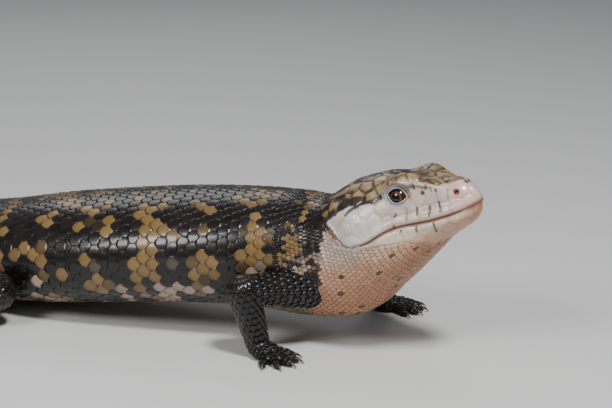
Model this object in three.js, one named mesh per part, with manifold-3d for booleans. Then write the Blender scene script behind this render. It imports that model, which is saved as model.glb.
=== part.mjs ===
// A blue tongued skink, life size, as a still model. It rests on its belly, tail and feet, its head raised.
// Millimetres, +Z up, the head towards +X. The origin is on the floor, under the middle of the model's box.
import * as THREE from "three";
import { mergeVertices } from "three/addons/utils/BufferGeometryUtils.js";
import Module from "manifold-3d";

const wasm = await Module();
wasm.setup();

// Sizes along the body, all measured back from the front of the mouth
const GAP = 0.3; // kept between neighbouring pieces
const HEAD_END = 60;
const NECK_END = 74;
const TRUNK_END = 250;
const TAIL_CUTS = [326, 404];
const BODY_LENGTH = 480;
const SNOUT_CAP = 8.5; // how far back the rounding of the snout reaches
const TAIL_CAP = 5;
const BELLY_STATION = 244; // where the mid line's height is known
const BELLY_HEIGHT = 17.6; // of the mid line above the floor, there
const BELLY_PLACE = -120; // along the model, there
const MIDDLE = [-115.4, -3.5]; // of the model's box, seen from above, before it is moved to the origin

// The face: each place is a station and an angle from the top of the head
const MOUTH_CORNER = 48;
const MOUTH_GROOVE = 0.9; // depth
const JAW_SETBACK = 1.5; // of the chin behind the snout
const SNOUT_LEAN = 0.25; // forward, for each mm of height above the mouth, at the very front
const EYE = { at: 27.8, angle: 45, radius: 4.6, sunk: 4.2, lean: 24, rise: 14, tilt: 20 };
const LIDS = { radius: 5.5, length: 8.6, upper: 2.5, lower: 2.9 };
const NOSTRIL = { at: 5.8, angle: 40, radius: 1.05 };
const EAR = { at: 56, angle: 72, along: 1.7, girth: 3.7, depth: 2.6, tilt: 38 };
const EAR_LOBES = 3;
const LOBE_RADIUS = 0.8;

// Half width, height above and depth below the mid line, and how square the section is above and below it.
// On the head the mid line is the line of the mouth.
const STATIONS = [
  { at: 0, wide: 3.8, over: 10.8, under: 3.4, squareOver: 2.2, squareUnder: 2.1 },
  { at: 8, wide: 8.0, over: 12.4, under: 5.4, squareOver: 2.4, squareUnder: 2.2 },
  { at: 18, wide: 11.6, over: 15.5, under: 8.2, squareOver: 2.5, squareUnder: 2.2 },
  { at: 27, wide: 13.8, over: 18.8, under: 12.4, squareOver: 2.5, squareUnder: 2.2 },
  { at: 38, wide: 18.2, over: 22.1, under: 17.6, squareOver: 2.3, squareUnder: 2.1 },
  { at: 48, wide: 20.8, over: 22.3, under: 22.0, squareOver: 2.2, squareUnder: 2.0 },
  { at: 56, wide: 20.6, over: 21.0, under: 26.0, squareOver: 2.1, squareUnder: 2.0 },
  { at: 68, wide: 20.8, over: 18.8, under: 29.0, squareOver: 2.0, squareUnder: 2.0 },
  { at: 84, wide: 24.0, over: 21.0, under: 28.0, squareOver: 2.0, squareUnder: 2.0 },
  { at: 104, wide: 28.0, over: 22.2, under: 24.5, squareOver: 2.0, squareUnder: 2.1 },
  { at: 136, wide: 31.5, over: 22.6, under: 22.5, squareOver: 2.0, squareUnder: 2.2 },
  { at: 180, wide: 33.0, over: 22.8, under: 21.0, squareOver: 2.0, squareUnder: 2.3 },
  { at: 222, wide: 28.0, over: 20.6, under: 19.5, squareOver: 2.0, squareUnder: 2.3 },
  { at: 250, wide: 21.5, over: 17.6, under: 18.0, squareOver: 2.0, squareUnder: 2.2 },
  { at: 280, wide: 16.5, over: 14.2, under: 15.0, squareOver: 2.0, squareUnder: 2.1 },
  { at: 330, wide: 12.6, over: 11.0, under: 11.6, squareOver: 2.0, squareUnder: 2.0 },
  { at: 410, wide: 7.4, over: 6.6, under: 7.0, squareOver: 2.0, squareUnder: 2.0 },
  { at: 480, wide: 2.4, over: 2.2, under: 2.4, squareOver: 2.0, squareUnder: 2.0 },
];

// Where the mid line faces, in degrees: heading turns it to the left, climb slopes it up towards the head.
const BENDS = [
  { at: 0, heading: -18, climb: 40 },
  { at: 13, heading: -18, climb: 23 },
  { at: 50, heading: -18, climb: 22 },
  { at: 66, heading: -17, climb: 17 },
  { at: 86, heading: -9, climb: 7 },
  { at: 110, heading: -3, climb: 5 },
  { at: 150, heading: -2, climb: 8 },
  { at: 195, heading: -5, climb: 9 },
  { at: 228, heading: -10, climb: 4.5 },
  { at: 265, heading: -18, climb: 5 },
  { at: 315, heading: -24, climb: 4 },
  { at: 385, heading: -8, climb: 3.4 },
  { at: 445, heading: 18, climb: 3.7 },
  { at: 480, heading: 34, climb: 3.8 },
];

// Each leg starts inside the body, at a station and angle, inset from the skin. Its joints follow as steps
// from one to the next: ahead, outward and up. A foot's turn is how far its toes point outward, in degrees.
const LEGS = {
  foreleg_right: {
    root: { at: 77, angle: -132, inset: 5 },
    elbow: [-15, 22, 2],
    wrist: [4, -4, -20.5],
    thick: [8.6, 6.6, 5.6, 4.6],
    foot: { turn: 12, palm: [6.4, 5.4], toes: "fore" },
  },
  foreleg_left: {
    root: { at: 77, angle: 132, inset: 5 },
    elbow: [-10, 22, 0],
    wrist: [12, 3, -18.5],
    thick: [8.6, 6.6, 5.6, 4.6],
    foot: { turn: 20, palm: [6.4, 5.4], toes: "fore" },
  },
  hindleg_right: {
    root: { at: 222, angle: -112, inset: 6 },
    elbow: [24, 20, 4],
    wrist: [-15, 7, -14.5],
    thick: [10, 8.2, 6.4, 5],
    foot: { turn: 32, palm: [7.6, 5.8], toes: "hind" },
  },
  hindleg_left: {
    root: { at: 222, angle: 112, inset: 6 },
    elbow: [14, 23, 3],
    wrist: [-17, 9, -13.5],
    thick: [10, 8.2, 6.4, 5],
    foot: { turn: 38, palm: [7.6, 5.8], toes: "hind" },
  },
};
const ANKLE_HEIGHT = 4.4;
const PALM_HEIGHT = 3.6;
const PALM_RISE = 3.1; // of its middle above the floor
const PALM_AHEAD = 0.55; // palm lengths from the ankle to its middle, and from there to the toes' roots
const TOE_RISES = [2.5, 2.9]; // of a toe's root and of its knuckle
const TOE_THINNING = [1, 0.92, 0.74]; // of its radius, from root to tip
const CLAW_LENGTH = 3.6;
const CLAW_RISES = [1.5, 1.7, 0.4];
const CLAW_RADII = [0.8, 0.62, 0.16];

// The toes of a foot from the inner to the outer one: direction in degrees outward, length and radius.
const TOES = {
  fore: [
    { turn: -42, length: 7.0, radius: 1.9 },
    { turn: -19, length: 9.0, radius: 2.0 },
    { turn: 2, length: 9.6, radius: 2.1 },
    { turn: 24, length: 9.0, radius: 2.0 },
    { turn: 50, length: 7.2, radius: 1.9 },
  ],
  hind: [
    { turn: -46, length: 6.8, radius: 1.9 },
    { turn: -22, length: 9.2, radius: 2.1 },
    { turn: 0, length: 11.0, radius: 2.2 },
    { turn: 22, length: 11.4, radius: 2.1 },
    { turn: 56, length: 7.6, radius: 1.9 },
  ],
};

const radians = THREE.MathUtils.degToRad;

// A smooth curve through values at stations that never overshoots them.
function smoothTable(rows, key) {
  const x = rows.map((row) => row.at);
  const y = rows.map((row) => row[key]);
  const rise = x.slice(1).map((to, i) => (y[i + 1] - y[i]) / (to - x[i]));
  const slope = y.map((_, i) => {
    if (i === 0) return rise[0];
    if (i === y.length - 1) return rise[i - 1];
    if (rise[i - 1] * rise[i] <= 0) return 0;
    const before = x[i] - x[i - 1];
    const after = x[i + 1] - x[i];
    const weightBefore = 2 * after + before;
    const weightAfter = after + 2 * before;
    return (weightBefore + weightAfter) / (weightBefore / rise[i - 1] + weightAfter / rise[i]);
  });
  return (at) => {
    let i = 0;
    while (i < x.length - 2 && at > x[i + 1]) i += 1;
    const span = x[i + 1] - x[i];
    const t = THREE.MathUtils.clamp((at - x[i]) / span, 0, 1);
    const start = (1 + 2 * t) * (1 - t) ** 2 * y[i] + t * (1 - t) ** 2 * span * slope[i];
    return start + t * t * (3 - 2 * t) * y[i + 1] + t * t * (t - 1) * span * slope[i + 1];
  };
}

const wideAt = smoothTable(STATIONS, "wide");
const overAt = smoothTable(STATIONS, "over");
const underAt = smoothTable(STATIONS, "under");
const squareOverAt = smoothTable(STATIONS, "squareOver");
const squareUnderAt = smoothTable(STATIONS, "squareUnder");
const headingAt = smoothTable(BENDS, "heading");
const climbAt = smoothTable(BENDS, "climb");

// The way the body faces at a station, with its left side and its up.
function axesAt(at) {
  const heading = radians(headingAt(at));
  const climb = radians(climbAt(at));
  const ahead = new THREE.Vector3(
    Math.cos(climb) * Math.cos(heading),
    Math.cos(climb) * Math.sin(heading),
    Math.sin(climb),
  );
  const left = new THREE.Vector3(-Math.sin(heading), Math.cos(heading), 0);
  return { ahead, left, up: new THREE.Vector3().crossVectors(ahead, left) };
}

// The mid line, walked back from the mouth in steps of 1 mm, then put at its height and place.
const midLine = [new THREE.Vector3()];
for (let at = 0; at < BODY_LENGTH; at += 1) {
  midLine.push(midLine[at].clone().addScaledVector(axesAt(at + 0.5).ahead, -1));
}
const belly = midLine[BELLY_STATION].clone();
midLine.forEach((p) => p.sub(belly).add(new THREE.Vector3(BELLY_PLACE, 0, BELLY_HEIGHT)));

function midPoint(at) {
  const i = Math.min(Math.floor(at), BODY_LENGTH - 1);
  return midLine[i].clone().lerp(midLine[i + 1], at - i);
}

// How much of the full section there is where the snout and the tail round off.
const fromSnout = (at) => Math.max(0, 1 - at / SNOUT_CAP);
function roundOff(at) {
  const fromTail = Math.max(0, 1 - (BODY_LENGTH - at) / TAIL_CAP);
  return Math.sqrt(1 - fromSnout(at) ** 2) * Math.sqrt(Math.max(0, 1 - fromTail ** 2));
}

const hump = (x, middle, width) => Math.exp(-(((x - middle) / width) ** 2));
const step = (x, from, to) => THREE.MathUtils.smoothstep(x, from, to);

// Where the line of the mouth runs, as an angle from the top: it rises below the eye and dips to its corner.
const mouthAngle = (at) => 90 - 5 * hump(at, 29, 9) + 4 * hump(at, 43, 6);

// What the head adds to the plain section, in mm: brows, the ridge to the nostril, hollow sides of the snout
// and jaw muscles. side is the angle from the top, the same on both sides.
function headShape(at, side) {
  return (
    5 * hump(at, 22.5, 7.5) * hump(side, 29, 11) +
    0.6 * hump(at, 13, 7) * hump(side, 40, 12) -
    0.7 * hump(at, 17, 6) * hump(side, 64, 14) -
    0.4 * hump(at, 28, 12) * hump(side, 0, 14) +
    1.2 * hump(at, 47, 8) * hump(side, 70, 17) -
    0.8 * hump(at, 60, 4) * hump(side, 78, 22)
  );
}

// Distance from the mid line to the skin, in the section at a station, grown by some mm.
function reachAt(at, angle, grow = 0) {
  const across = Math.abs(Math.sin(radians(angle)));
  const upright = Math.cos(radians(angle));
  const above = upright > 0;
  const wide = wideAt(at) * roundOff(at) + grow;
  const high = (above ? overAt(at) : underAt(at)) * roundOff(at) + grow;
  const square = above ? squareOverAt(at) : squareUnderAt(at);
  const plain = ((across / wide) ** square + (Math.abs(upright) / high) ** square) ** (-1 / square);
  const side = Math.abs(angle > 180 ? angle - 360 : angle);
  return plain + headShape(at, side) * roundOff(at);
}

// The groove of the mouth between its two lips, as a lift of the skin at a height above the mouth's line.
function mouthLift(at, height) {
  const there = 1 - step(at, MOUTH_CORNER - 4, MOUTH_CORNER + 1);
  const lips = 0.45 * (hump(height, 1.7, 1.2) + hump(height, -1.7, 1.2));
  return there * (lips - MOUTH_GROOVE * hump(height, 0, 0.6));
}

// A point on the body: angle 0 is the top, 90 the left side, 180 the belly. Nothing goes below the floor.
function skinPoint(at, angle, grow = 0, inset = 0) {
  const { ahead, left, up } = axesAt(at);
  const side = Math.abs(angle > 180 ? angle - 360 : angle);
  const plain = reachAt(at, angle, grow);
  const height = plain * Math.sin(radians(mouthAngle(at) - side));
  const facing = fromSnout(at);
  const reach = plain - inset + mouthLift(at, height) * (1 - facing);
  const back = facing * (JAW_SETBACK * step(-height, -0.2, 1.2) - SNOUT_LEAN * Math.max(height, 0));
  const p = midPoint(at)
    .addScaledVector(left, reach * Math.sin(radians(angle)))
    .addScaledVector(up, reach * Math.cos(radians(angle)))
    .addScaledVector(ahead, -back);
  p.z = Math.max(p.z, -4 * grow);
  return p;
}

// A place on the skin with its outward direction, and its directions along the body and round it.
function skinFrame(at, angle) {
  const place = skinPoint(at, angle);
  const along = skinPoint(at - 0.5, angle).sub(skinPoint(at + 0.5, angle)).normalize();
  const round = skinPoint(at, angle + 1).sub(skinPoint(at, angle - 1)).normalize();
  const out = new THREE.Vector3().crossVectors(along, round).normalize();
  return { place, along, round, out };
}

// A closed surface through rings of points that all have the same count.
function ringsToGeometry(rings, frontTip, backTip) {
  const sides = rings[0].length;
  const points = [...rings.flat(), frontTip, backTip];
  const front = points.length - 2;
  const back = points.length - 1;
  const faces = [];
  const last = (rings.length - 1) * sides;
  for (let j = 0; j < sides; j += 1) {
    const next = (j + 1) % sides;
    faces.push(front, next, j);
    faces.push(back, last + j, last + next);
    for (let i = 0; i < rings.length - 1; i += 1) {
      const a = i * sides + j;
      const b = i * sides + next;
      faces.push(a, b, a + sides, b, b + sides, a + sides);
    }
  }
  const geometry = new THREE.BufferGeometry().setFromPoints(points);
  geometry.setIndex(faces);
  return geometry;
}

const middleOf = (ring) =>
  ring.reduce((sum, p) => sum.add(p), new THREE.Vector3()).divideScalar(ring.length);

// A length of the body through rings at stations, with flat ends.
function bodyRings(stations, anglesAt, grow = 0) {
  const rings = stations.map((at) => anglesAt(at).map((angle) => skinPoint(at, angle, grow)));
  return ringsToGeometry(rings, middleOf(rings[0]), middleOf(rings[rings.length - 1]));
}

function spread(from, to, apart) {
  const count = Math.max(1, Math.round((to - from) / apart));
  return Array.from({ length: count + 1 }, (_, i) => from + ((to - from) * i) / count);
}

const evenAngles = (sides) => () => Array.from({ length: sides }, (_, j) => (360 * j) / sides);

// A closed surface as a solid that can be joined and cut, and back, keeping only the largest piece.
function toSolid(geometry) {
  const bare = new THREE.BufferGeometry();
  bare.setAttribute("position", geometry.getAttribute("position"));
  bare.setIndex(geometry.index);
  const merged = mergeVertices(bare);
  return new wasm.Manifold(
    new wasm.Mesh({
      numProp: 3,
      vertProperties: new Float32Array(merged.getAttribute("position").array),
      triVerts: new Uint32Array(merged.index.array),
    }),
  );
}

function toGeometry(solid) {
  const largest = solid.decompose().reduce((best, one) => (one.volume() > best.volume() ? one : best));
  const mesh = largest.getMesh();
  const geometry = new THREE.BufferGeometry();
  geometry.setAttribute("position", new THREE.BufferAttribute(new Float32Array(mesh.vertProperties), 3));
  geometry.setIndex(new THREE.BufferAttribute(new Uint32Array(mesh.triVerts), 1));
  return geometry;
}

// A ball, or an egg drawn out by three sizes: along a direction, across it, and outward.
function egg(place, sizes, out, along, across = 14, high = 10) {
  const geometry = new THREE.SphereGeometry(1, across, high);
  const sideways = new THREE.Vector3().crossVectors(out, along).normalize();
  const outward = new THREE.Vector3().crossVectors(along, sideways).normalize();
  const turn = new THREE.Matrix4().makeBasis(
    along.clone().normalize().multiplyScalar(sizes[0]),
    sideways.multiplyScalar(sizes[1]),
    outward.multiplyScalar(sizes[2]),
  );
  geometry.applyMatrix4(turn.setPosition(place));
  return geometry;
}

function ball(place, radius, across = 16, high = 10) {
  const geometry = new THREE.SphereGeometry(radius, across, high);
  geometry.translate(place.x, place.y, place.z);
  return geometry;
}

// Nothing goes below the floor: what would is pressed flat on it.
function flattened(geometry, floor = 0) {
  const points = geometry.getAttribute("position");
  for (let i = 0; i < points.count; i += 1) points.setZ(i, Math.max(points.getZ(i), floor));
  return geometry;
}

// A round limb through points, with a radius at each and rounded ends.
function limb(points, radii, { sides = 12, steps = 6, domes = [30, 60], grow = 0 } = {}) {
  const curve = new THREE.CatmullRomCurve3(points, false, "centripetal");
  const thick = smoothTable(radii.map((radius, i) => ({ at: i / (radii.length - 1), radius })), "radius");
  const stops = [];
  for (let i = 0; i <= steps; i += 1) {
    const t = i / steps;
    stops.push({ place: curve.getPoint(t), facing: curve.getTangent(t), radius: thick(t) + grow });
  }
  const dome = (stop, sign) =>
    domes.map((angle) => ({
      place: stop.place.clone().addScaledVector(stop.facing, sign * stop.radius * Math.sin(radians(angle))),
      facing: stop.facing,
      radius: stop.radius * Math.cos(radians(angle)),
    }));
  const first = stops[0];
  const last = stops[steps];
  const all = [...dome(first, -1).reverse(), ...stops, ...dome(last, 1)];
  let across = new THREE.Vector3(0, 0, 1);
  if (Math.abs(first.facing.z) > 0.8) across.set(1, 0, 0);
  const rings = all.map(({ place, facing, radius }) => {
    across = across.clone().addScaledVector(facing, -across.dot(facing)).normalize();
    const other = new THREE.Vector3().crossVectors(facing, across);
    return Array.from({ length: sides }, (_, j) => {
      const turn = (2 * Math.PI * j) / sides;
      return place
        .clone()
        .addScaledVector(across, radius * Math.cos(turn))
        .addScaledVector(other, radius * Math.sin(turn));
    });
  });
  const tip = (stop, sign) => stop.place.clone().addScaledVector(stop.facing, sign * stop.radius);
  return flattened(ringsToGeometry(rings, tip(first, -1), tip(last, 1)), -4 * grow);
}

// The head, with its mouth, eye sockets, lids, nostrils and ears
const HALF_ANGLES = [10, 20, 30, 40, 50, 60, 70, 78, 84, 87.6, 90, 92.4, 96, 102, 112, 124, 138, 152, 166];
function headAngles(at) {
  const follow = (angle) => angle + (mouthAngle(at) - 90) * Math.sin(radians(angle)) ** 2;
  const half = HALF_ANGLES.map(follow);
  return [0, ...half, 180, ...half.map((angle) => 360 - angle).reverse()];
}

// Where an eye sits, and its own directions: out of the socket, along the slit of the lids and across it.
function eyeFrame(side) {
  const { ahead, left, up } = axesAt(EYE.at);
  const { place, out } = skinFrame(EYE.at, side * EYE.angle);
  const centre = place.clone().addScaledVector(out, -EYE.sunk);
  const gaze = left
    .clone()
    .multiplyScalar(side)
    .addScaledVector(ahead, Math.tan(radians(EYE.lean)))
    .addScaledVector(up, Math.tan(radians(EYE.rise)))
    .normalize();
  const slit = ahead.clone().addScaledVector(up, -Math.tan(radians(EYE.tilt)));
  slit.addScaledVector(gaze, -slit.dot(gaze)).normalize();
  return { centre, gaze, slit, across: new THREE.Vector3().crossVectors(gaze, slit) };
}

// The almond opening between the lids, reaching out from inside the eye.
function lidOpening({ centre, gaze, slit, across }) {
  const half = LIDS.length / 2;
  const upward = Math.sign(across.z);
  const almond = new THREE.Shape();
  almond.moveTo(-half, 0);
  almond.quadraticCurveTo(0, -2 * upward * LIDS.lower, half, 0);
  almond.quadraticCurveTo(0, 2 * upward * LIDS.upper, -half, 0);
  const geometry = new THREE.ExtrudeGeometry(almond, { depth: 12, bevelEnabled: false, curveSegments: 7 });
  return geometry.applyMatrix4(new THREE.Matrix4().makeBasis(slit, across, gaze).setPosition(centre));
}

// The cup of an ear slants down and forward. Small lobes stand along its front edge.
function earFrame(side) {
  const { place, along, out } = skinFrame(EAR.at, side * EAR.angle);
  const down = new THREE.Vector3().crossVectors(out, along).multiplyScalar(side);
  const lean = radians(EAR.tilt);
  const slit = down.multiplyScalar(Math.cos(lean)).addScaledVector(along, Math.sin(lean));
  return { place, out, slit, front: new THREE.Vector3().crossVectors(slit, out).multiplyScalar(side) };
}

function makeHead() {
  const cap = [12, 25, 38, 51, 64, 77].map((angle) => SNOUT_CAP * (1 - Math.cos(radians(angle))));
  let head = toSolid(bodyRings([...cap, ...spread(SNOUT_CAP, HEAD_END, 2)], headAngles));
  for (const side of [1, -1]) {
    const eye = eyeFrame(side);
    head = head
      .add(toSolid(ball(eye.centre, LIDS.radius, 20, 12)))
      .subtract(toSolid(ball(eye.centre, EYE.radius + GAP)))
      .subtract(toSolid(lidOpening(eye)));
    const nostril = skinFrame(NOSTRIL.at, side * NOSTRIL.angle);
    head = head.subtract(toSolid(ball(nostril.place, NOSTRIL.radius, 8, 6)));
    const ear = earFrame(side);
    const cup = egg(ear.place, [EAR.girth, EAR.along, EAR.depth], ear.out, ear.slit, 12, 8);
    head = head.subtract(toSolid(cup));
    for (let i = 0; i < EAR_LOBES; i += 1) {
      const down = ((i + 0.5) / EAR_LOBES - 0.5) * 1.3 * EAR.girth;
      const lobe = ear.place
        .clone()
        .addScaledVector(ear.slit, down)
        .addScaledVector(ear.front, EAR.along * 0.9)
        .addScaledVector(ear.out, -0.4);
      head = head.add(toSolid(ball(lobe, LOBE_RADIUS, 7, 5)));
    }
  }
  return toGeometry(head);
}

// A foot: a low palm with five toes, each ending in a claw, all pressed flat on the floor where they meet it.
function makeFoot(ankle, heading, side, foot) {
  const towards = (turn) => {
    const angle = heading + side * radians(foot.turn + turn);
    return new THREE.Vector3(Math.cos(angle), Math.sin(angle), 0);
  };
  const up = new THREE.Vector3(0, 0, 1);
  const [palmLength, palmWidth] = foot.palm;
  const rootPlace = PALM_AHEAD * palmLength;
  const middle = ankle.clone().addScaledVector(towards(0), rootPlace).setZ(PALM_RISE);
  const palm = egg(middle, [palmLength, palmWidth, PALM_HEIGHT], up, towards(0), 12, 6);
  let solid = toSolid(flattened(palm));
  for (const { turn, length, radius } of TOES[foot.toes]) {
    const place = (far, height) => middle.clone().addScaledVector(towards(turn), far).setZ(height);
    const thick = TOE_THINNING.map((share) => share * radius);
    const tip = rootPlace + length;
    const toe = [
      place(rootPlace, TOE_RISES[0]),
      place(rootPlace + 0.45 * length, TOE_RISES[1]),
      place(tip, thick[2] - 0.15),
    ];
    const claw = [-0.6, 0.45 * CLAW_LENGTH, CLAW_LENGTH].map((far, i) => place(tip + far, CLAW_RISES[i]));
    solid = solid
      .add(toSolid(limb(toe, thick, { sides: 6, steps: 4, domes: [45] })))
      .add(toSolid(limb(claw, CLAW_RADII, { sides: 5, steps: 2, domes: [45] })));
  }
  return solid;
}

// A leg in three pieces. Each is cut clear of the body and of the piece before it.
function makeLeg(name, { root, elbow, wrist, thick, foot }, body) {
  const side = Math.sign(root.angle);
  const heading = radians(headingAt(root.at));
  const walk = (from, [forward, outward, upward]) =>
    from
      .clone()
      .addScaledVector(new THREE.Vector3(Math.cos(heading), Math.sin(heading), 0), forward)
      .addScaledVector(new THREE.Vector3(-Math.sin(heading), Math.cos(heading), 0), side * outward)
      .add(new THREE.Vector3(0, 0, upward));
  const shoulder = skinPoint(root.at, root.angle, 0, root.inset);
  const bend = walk(shoulder, elbow);
  const ankle = walk(bend, wrist).setZ(ANKLE_HEIGHT);
  const between = (from, to) => [from, from.clone().lerp(to, 0.5), to];
  const upper = (grow) => toSolid(limb(between(shoulder, bend), thick.slice(0, 3), { grow }));
  const lower = (grow) => toSolid(limb(between(bend, ankle), thick.slice(1), { grow }));
  const pieces = {
    upper: upper(0).subtract(body),
    lower: lower(0).subtract(body).subtract(upper(GAP)),
    foot: makeFoot(ankle, heading, side, foot).subtract(lower(GAP)),
  };
  for (const [part, solid] of Object.entries(pieces)) {
    addNode(`${name}_${part}`, toGeometry(solid), "#1d1a18", 0.3);
  }
}

const scene = new THREE.Group();
function addNode(name, geometry, colour, roughness) {
  const material = new THREE.MeshStandardMaterial({ color: colour, roughness, metalness: 0 });
  const mesh = new THREE.Mesh(geometry, material);
  mesh.name = name;
  scene.add(mesh);
}

addNode("head", makeHead(), "#b9a999", 0.45);
addNode("eye_left", toGeometry(toSolid(ball(eyeFrame(1).centre, EYE.radius))), "#1a1210", 0.1);
addNode("eye_right", toGeometry(toSolid(ball(eyeFrame(-1).centre, EYE.radius))), "#1a1210", 0.1);
addNode("neck", bodyRings(spread(HEAD_END + GAP, NECK_END, 3.5), evenAngles(36)), "#a8937c", 0.5);
addNode("torso", bodyRings(spread(NECK_END + GAP, TRUNK_END, 8), evenAngles(36)), "#4a4038", 0.35);

const tailEnds = [TRUNK_END, ...TAIL_CUTS, BODY_LENGTH - 0.05];
["tail_root", "tail_middle", "tail_end"].forEach((name, i) => {
  const stations = spread(tailEnds[i] + GAP, tailEnds[i + 1], 7);
  addNode(name, bodyRings(stations, evenAngles(20)), "#3a342e", 0.35);
});

const grownBody = toSolid(bodyRings(spread(HEAD_END, TRUNK_END + 10, 8), evenAngles(36), GAP));
for (const [name, leg] of Object.entries(LEGS)) makeLeg(name, leg, grownBody);

scene.position.set(-MIDDLE[0], -MIDDLE[1], 0);
export default scene;
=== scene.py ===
# %% [markdown]
# # A blue tongued skink
# A blue tongued skink is a heavy lizard with a long glossy body, short legs and a head covered in smooth
# shields. The solids of this model already have its size and pose. Here they get one continuous skin,
# overlapping scales, eyes, claws and colour.

# %% Load the solids
import math

import bmesh
import bpy
import numpy as np
from mathutils import Matrix, Vector
from mathutils.bvhtree import BVHTree
from mathutils.kdtree import KDTree


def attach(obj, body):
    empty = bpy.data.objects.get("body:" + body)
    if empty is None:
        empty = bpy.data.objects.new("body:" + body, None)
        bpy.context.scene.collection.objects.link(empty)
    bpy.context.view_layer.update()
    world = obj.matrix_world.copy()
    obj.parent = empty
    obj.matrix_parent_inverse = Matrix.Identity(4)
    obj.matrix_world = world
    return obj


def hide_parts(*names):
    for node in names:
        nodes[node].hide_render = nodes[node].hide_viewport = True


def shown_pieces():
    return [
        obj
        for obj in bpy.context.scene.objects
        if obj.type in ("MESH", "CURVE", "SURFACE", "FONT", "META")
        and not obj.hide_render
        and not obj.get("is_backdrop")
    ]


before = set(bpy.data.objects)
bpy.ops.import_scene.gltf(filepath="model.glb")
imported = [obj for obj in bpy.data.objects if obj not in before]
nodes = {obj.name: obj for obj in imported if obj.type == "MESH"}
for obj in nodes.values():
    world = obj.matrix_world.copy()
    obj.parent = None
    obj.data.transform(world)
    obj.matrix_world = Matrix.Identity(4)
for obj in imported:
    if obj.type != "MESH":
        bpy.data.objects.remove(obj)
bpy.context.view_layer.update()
MM = 0.001
LEFT, RIGHT = 1, -1
print("loaded", len(nodes), "solids")

# %% [markdown]
# The body is a tube round a bent mid line, so each place on it has two numbers. The station is how far
# back it is from the mouth, in mm. The angle goes round the body: 0 on top, 90 at the animal's left, 180
# under the belly. Tables of a few sections give its shape, and a smooth curve joins them. The solids were
# made the same way, so whatever is placed by these numbers lands on them.

# %% The body's tables
BODY_LENGTH = 480
SNOUT_CAP, TAIL_CAP = 8.5, 5
# The station over the flat of the belly, its height over the floor, and its place before centring
BELLY_STATION, BELLY_HEIGHT, BELLY_PLACE = 244, 17.6, -120
# The middle of the solids' box, which becomes the origin
MIDDLE = (-115.4, -3.5)
MOUTH_CORNER = 48
MOUTH_GROOVE, GROOVE_WIDTH = 0.9, 0.45
LIP_HEIGHT, LIP_PLACE, LIP_WIDTH = 0.45, 1.7, 1.2
JAW_SETBACK, SNOUT_LEAN = 1.5, 0.25

# Station, half width, height over and depth under the mid line, and squareness above and below it
STATIONS = [
    (0, 3.8, 10.8, 3.4, 2.2, 2.1),
    (8, 8.0, 12.4, 5.4, 2.4, 2.2),
    (18, 11.6, 15.5, 8.2, 2.5, 2.2),
    (27, 13.8, 18.8, 12.4, 2.5, 2.2),
    (38, 18.2, 22.1, 17.6, 2.3, 2.1),
    (48, 20.8, 22.3, 22.0, 2.2, 2.0),
    (56, 20.6, 21.0, 26.0, 2.1, 2.0),
    (68, 20.8, 18.8, 29.0, 2.0, 2.0),
    (84, 24.0, 21.0, 28.0, 2.0, 2.0),
    (104, 28.0, 22.2, 24.5, 2.0, 2.1),
    (136, 31.5, 22.6, 22.5, 2.0, 2.2),
    (180, 33.0, 22.8, 21.0, 2.0, 2.3),
    (222, 28.0, 20.6, 19.5, 2.0, 2.3),
    (250, 21.5, 17.6, 18.0, 2.0, 2.2),
    (280, 16.5, 14.2, 15.0, 2.0, 2.1),
    (330, 12.6, 11.0, 11.6, 2.0, 2.0),
    (410, 7.4, 6.6, 7.0, 2.0, 2.0),
    (480, 2.4, 2.2, 2.4, 2.0, 2.0),
]

# Station, heading and climb of the mid line in degrees
BENDS = [
    (0, -18, 40),
    (13, -18, 23),
    (50, -18, 22),
    (66, -17, 17),
    (86, -9, 7),
    (110, -3, 5),
    (150, -2, 8),
    (195, -5, 9),
    (228, -10, 4.5),
    (265, -18, 5),
    (315, -24, 4),
    (385, -8, 3.4),
    (445, 18, 3.7),
    (480, 34, 3.8),
]


def smooth_table(rows, column):
    """A smooth curve through one column of a table that never overshoots it."""
    x = np.array([row[0] for row in rows], float)
    y = np.array([row[column] for row in rows], float)
    gap = np.diff(x)
    rise = np.diff(y) / gap
    slope = np.zeros(len(x))
    slope[0], slope[-1] = rise[0], rise[-1]
    for i in range(1, len(x) - 1):
        if rise[i - 1] * rise[i] > 0:
            before = 2 * gap[i] + gap[i - 1]
            after = gap[i] + 2 * gap[i - 1]
            slope[i] = (before + after) / (before / rise[i - 1] + after / rise[i])

    def value(at):
        at = np.asarray(at, float)
        i = np.clip(np.searchsorted(x, at) - 1, 0, len(x) - 2)
        t = np.clip((at - x[i]) / gap[i], 0, 1)
        start = (1 + 2 * t) * (1 - t) ** 2 * y[i] + t * (1 - t) ** 2 * gap[i] * slope[i]
        return start + t * t * (3 - 2 * t) * y[i + 1] + t * t * (t - 1) * gap[i] * slope[i + 1]

    return value


wide_at, over_at, under_at, square_over_at, square_under_at = (
    smooth_table(STATIONS, column) for column in range(1, 6)
)
heading_at, climb_at = (smooth_table(BENDS, i) for i in (1, 2))


def unit(v):
    return v / np.maximum(np.linalg.norm(v, axis=-1, keepdims=True), 1e-9)


def hump(x, middle, width):
    return np.exp(-(((x - middle) / width) ** 2))


def step(x, low, high):
    t = np.clip((np.asarray(x, float) - low) / (high - low), 0, 1)
    return t * t * (3 - 2 * t)


def mix(a, b, t):
    return a + (b - a) * t


def axes_at(at):
    """Ahead, left and up of the body at a station."""
    heading, climb = np.radians(heading_at(at)), np.radians(climb_at(at))
    ahead = np.stack([np.cos(climb) * np.cos(heading), np.cos(climb) * np.sin(heading), np.sin(climb)], -1)
    left = np.stack([-np.sin(heading), np.cos(heading), 0 * heading], -1)
    return ahead, left, np.cross(ahead, left)


mid_line = np.vstack([np.zeros(3), -np.cumsum(axes_at(np.arange(BODY_LENGTH) + 0.5)[0], 0)])
mid_line += np.array([BELLY_PLACE - MIDDLE[0], -MIDDLE[1], BELLY_HEIGHT]) - mid_line[BELLY_STATION]


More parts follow.
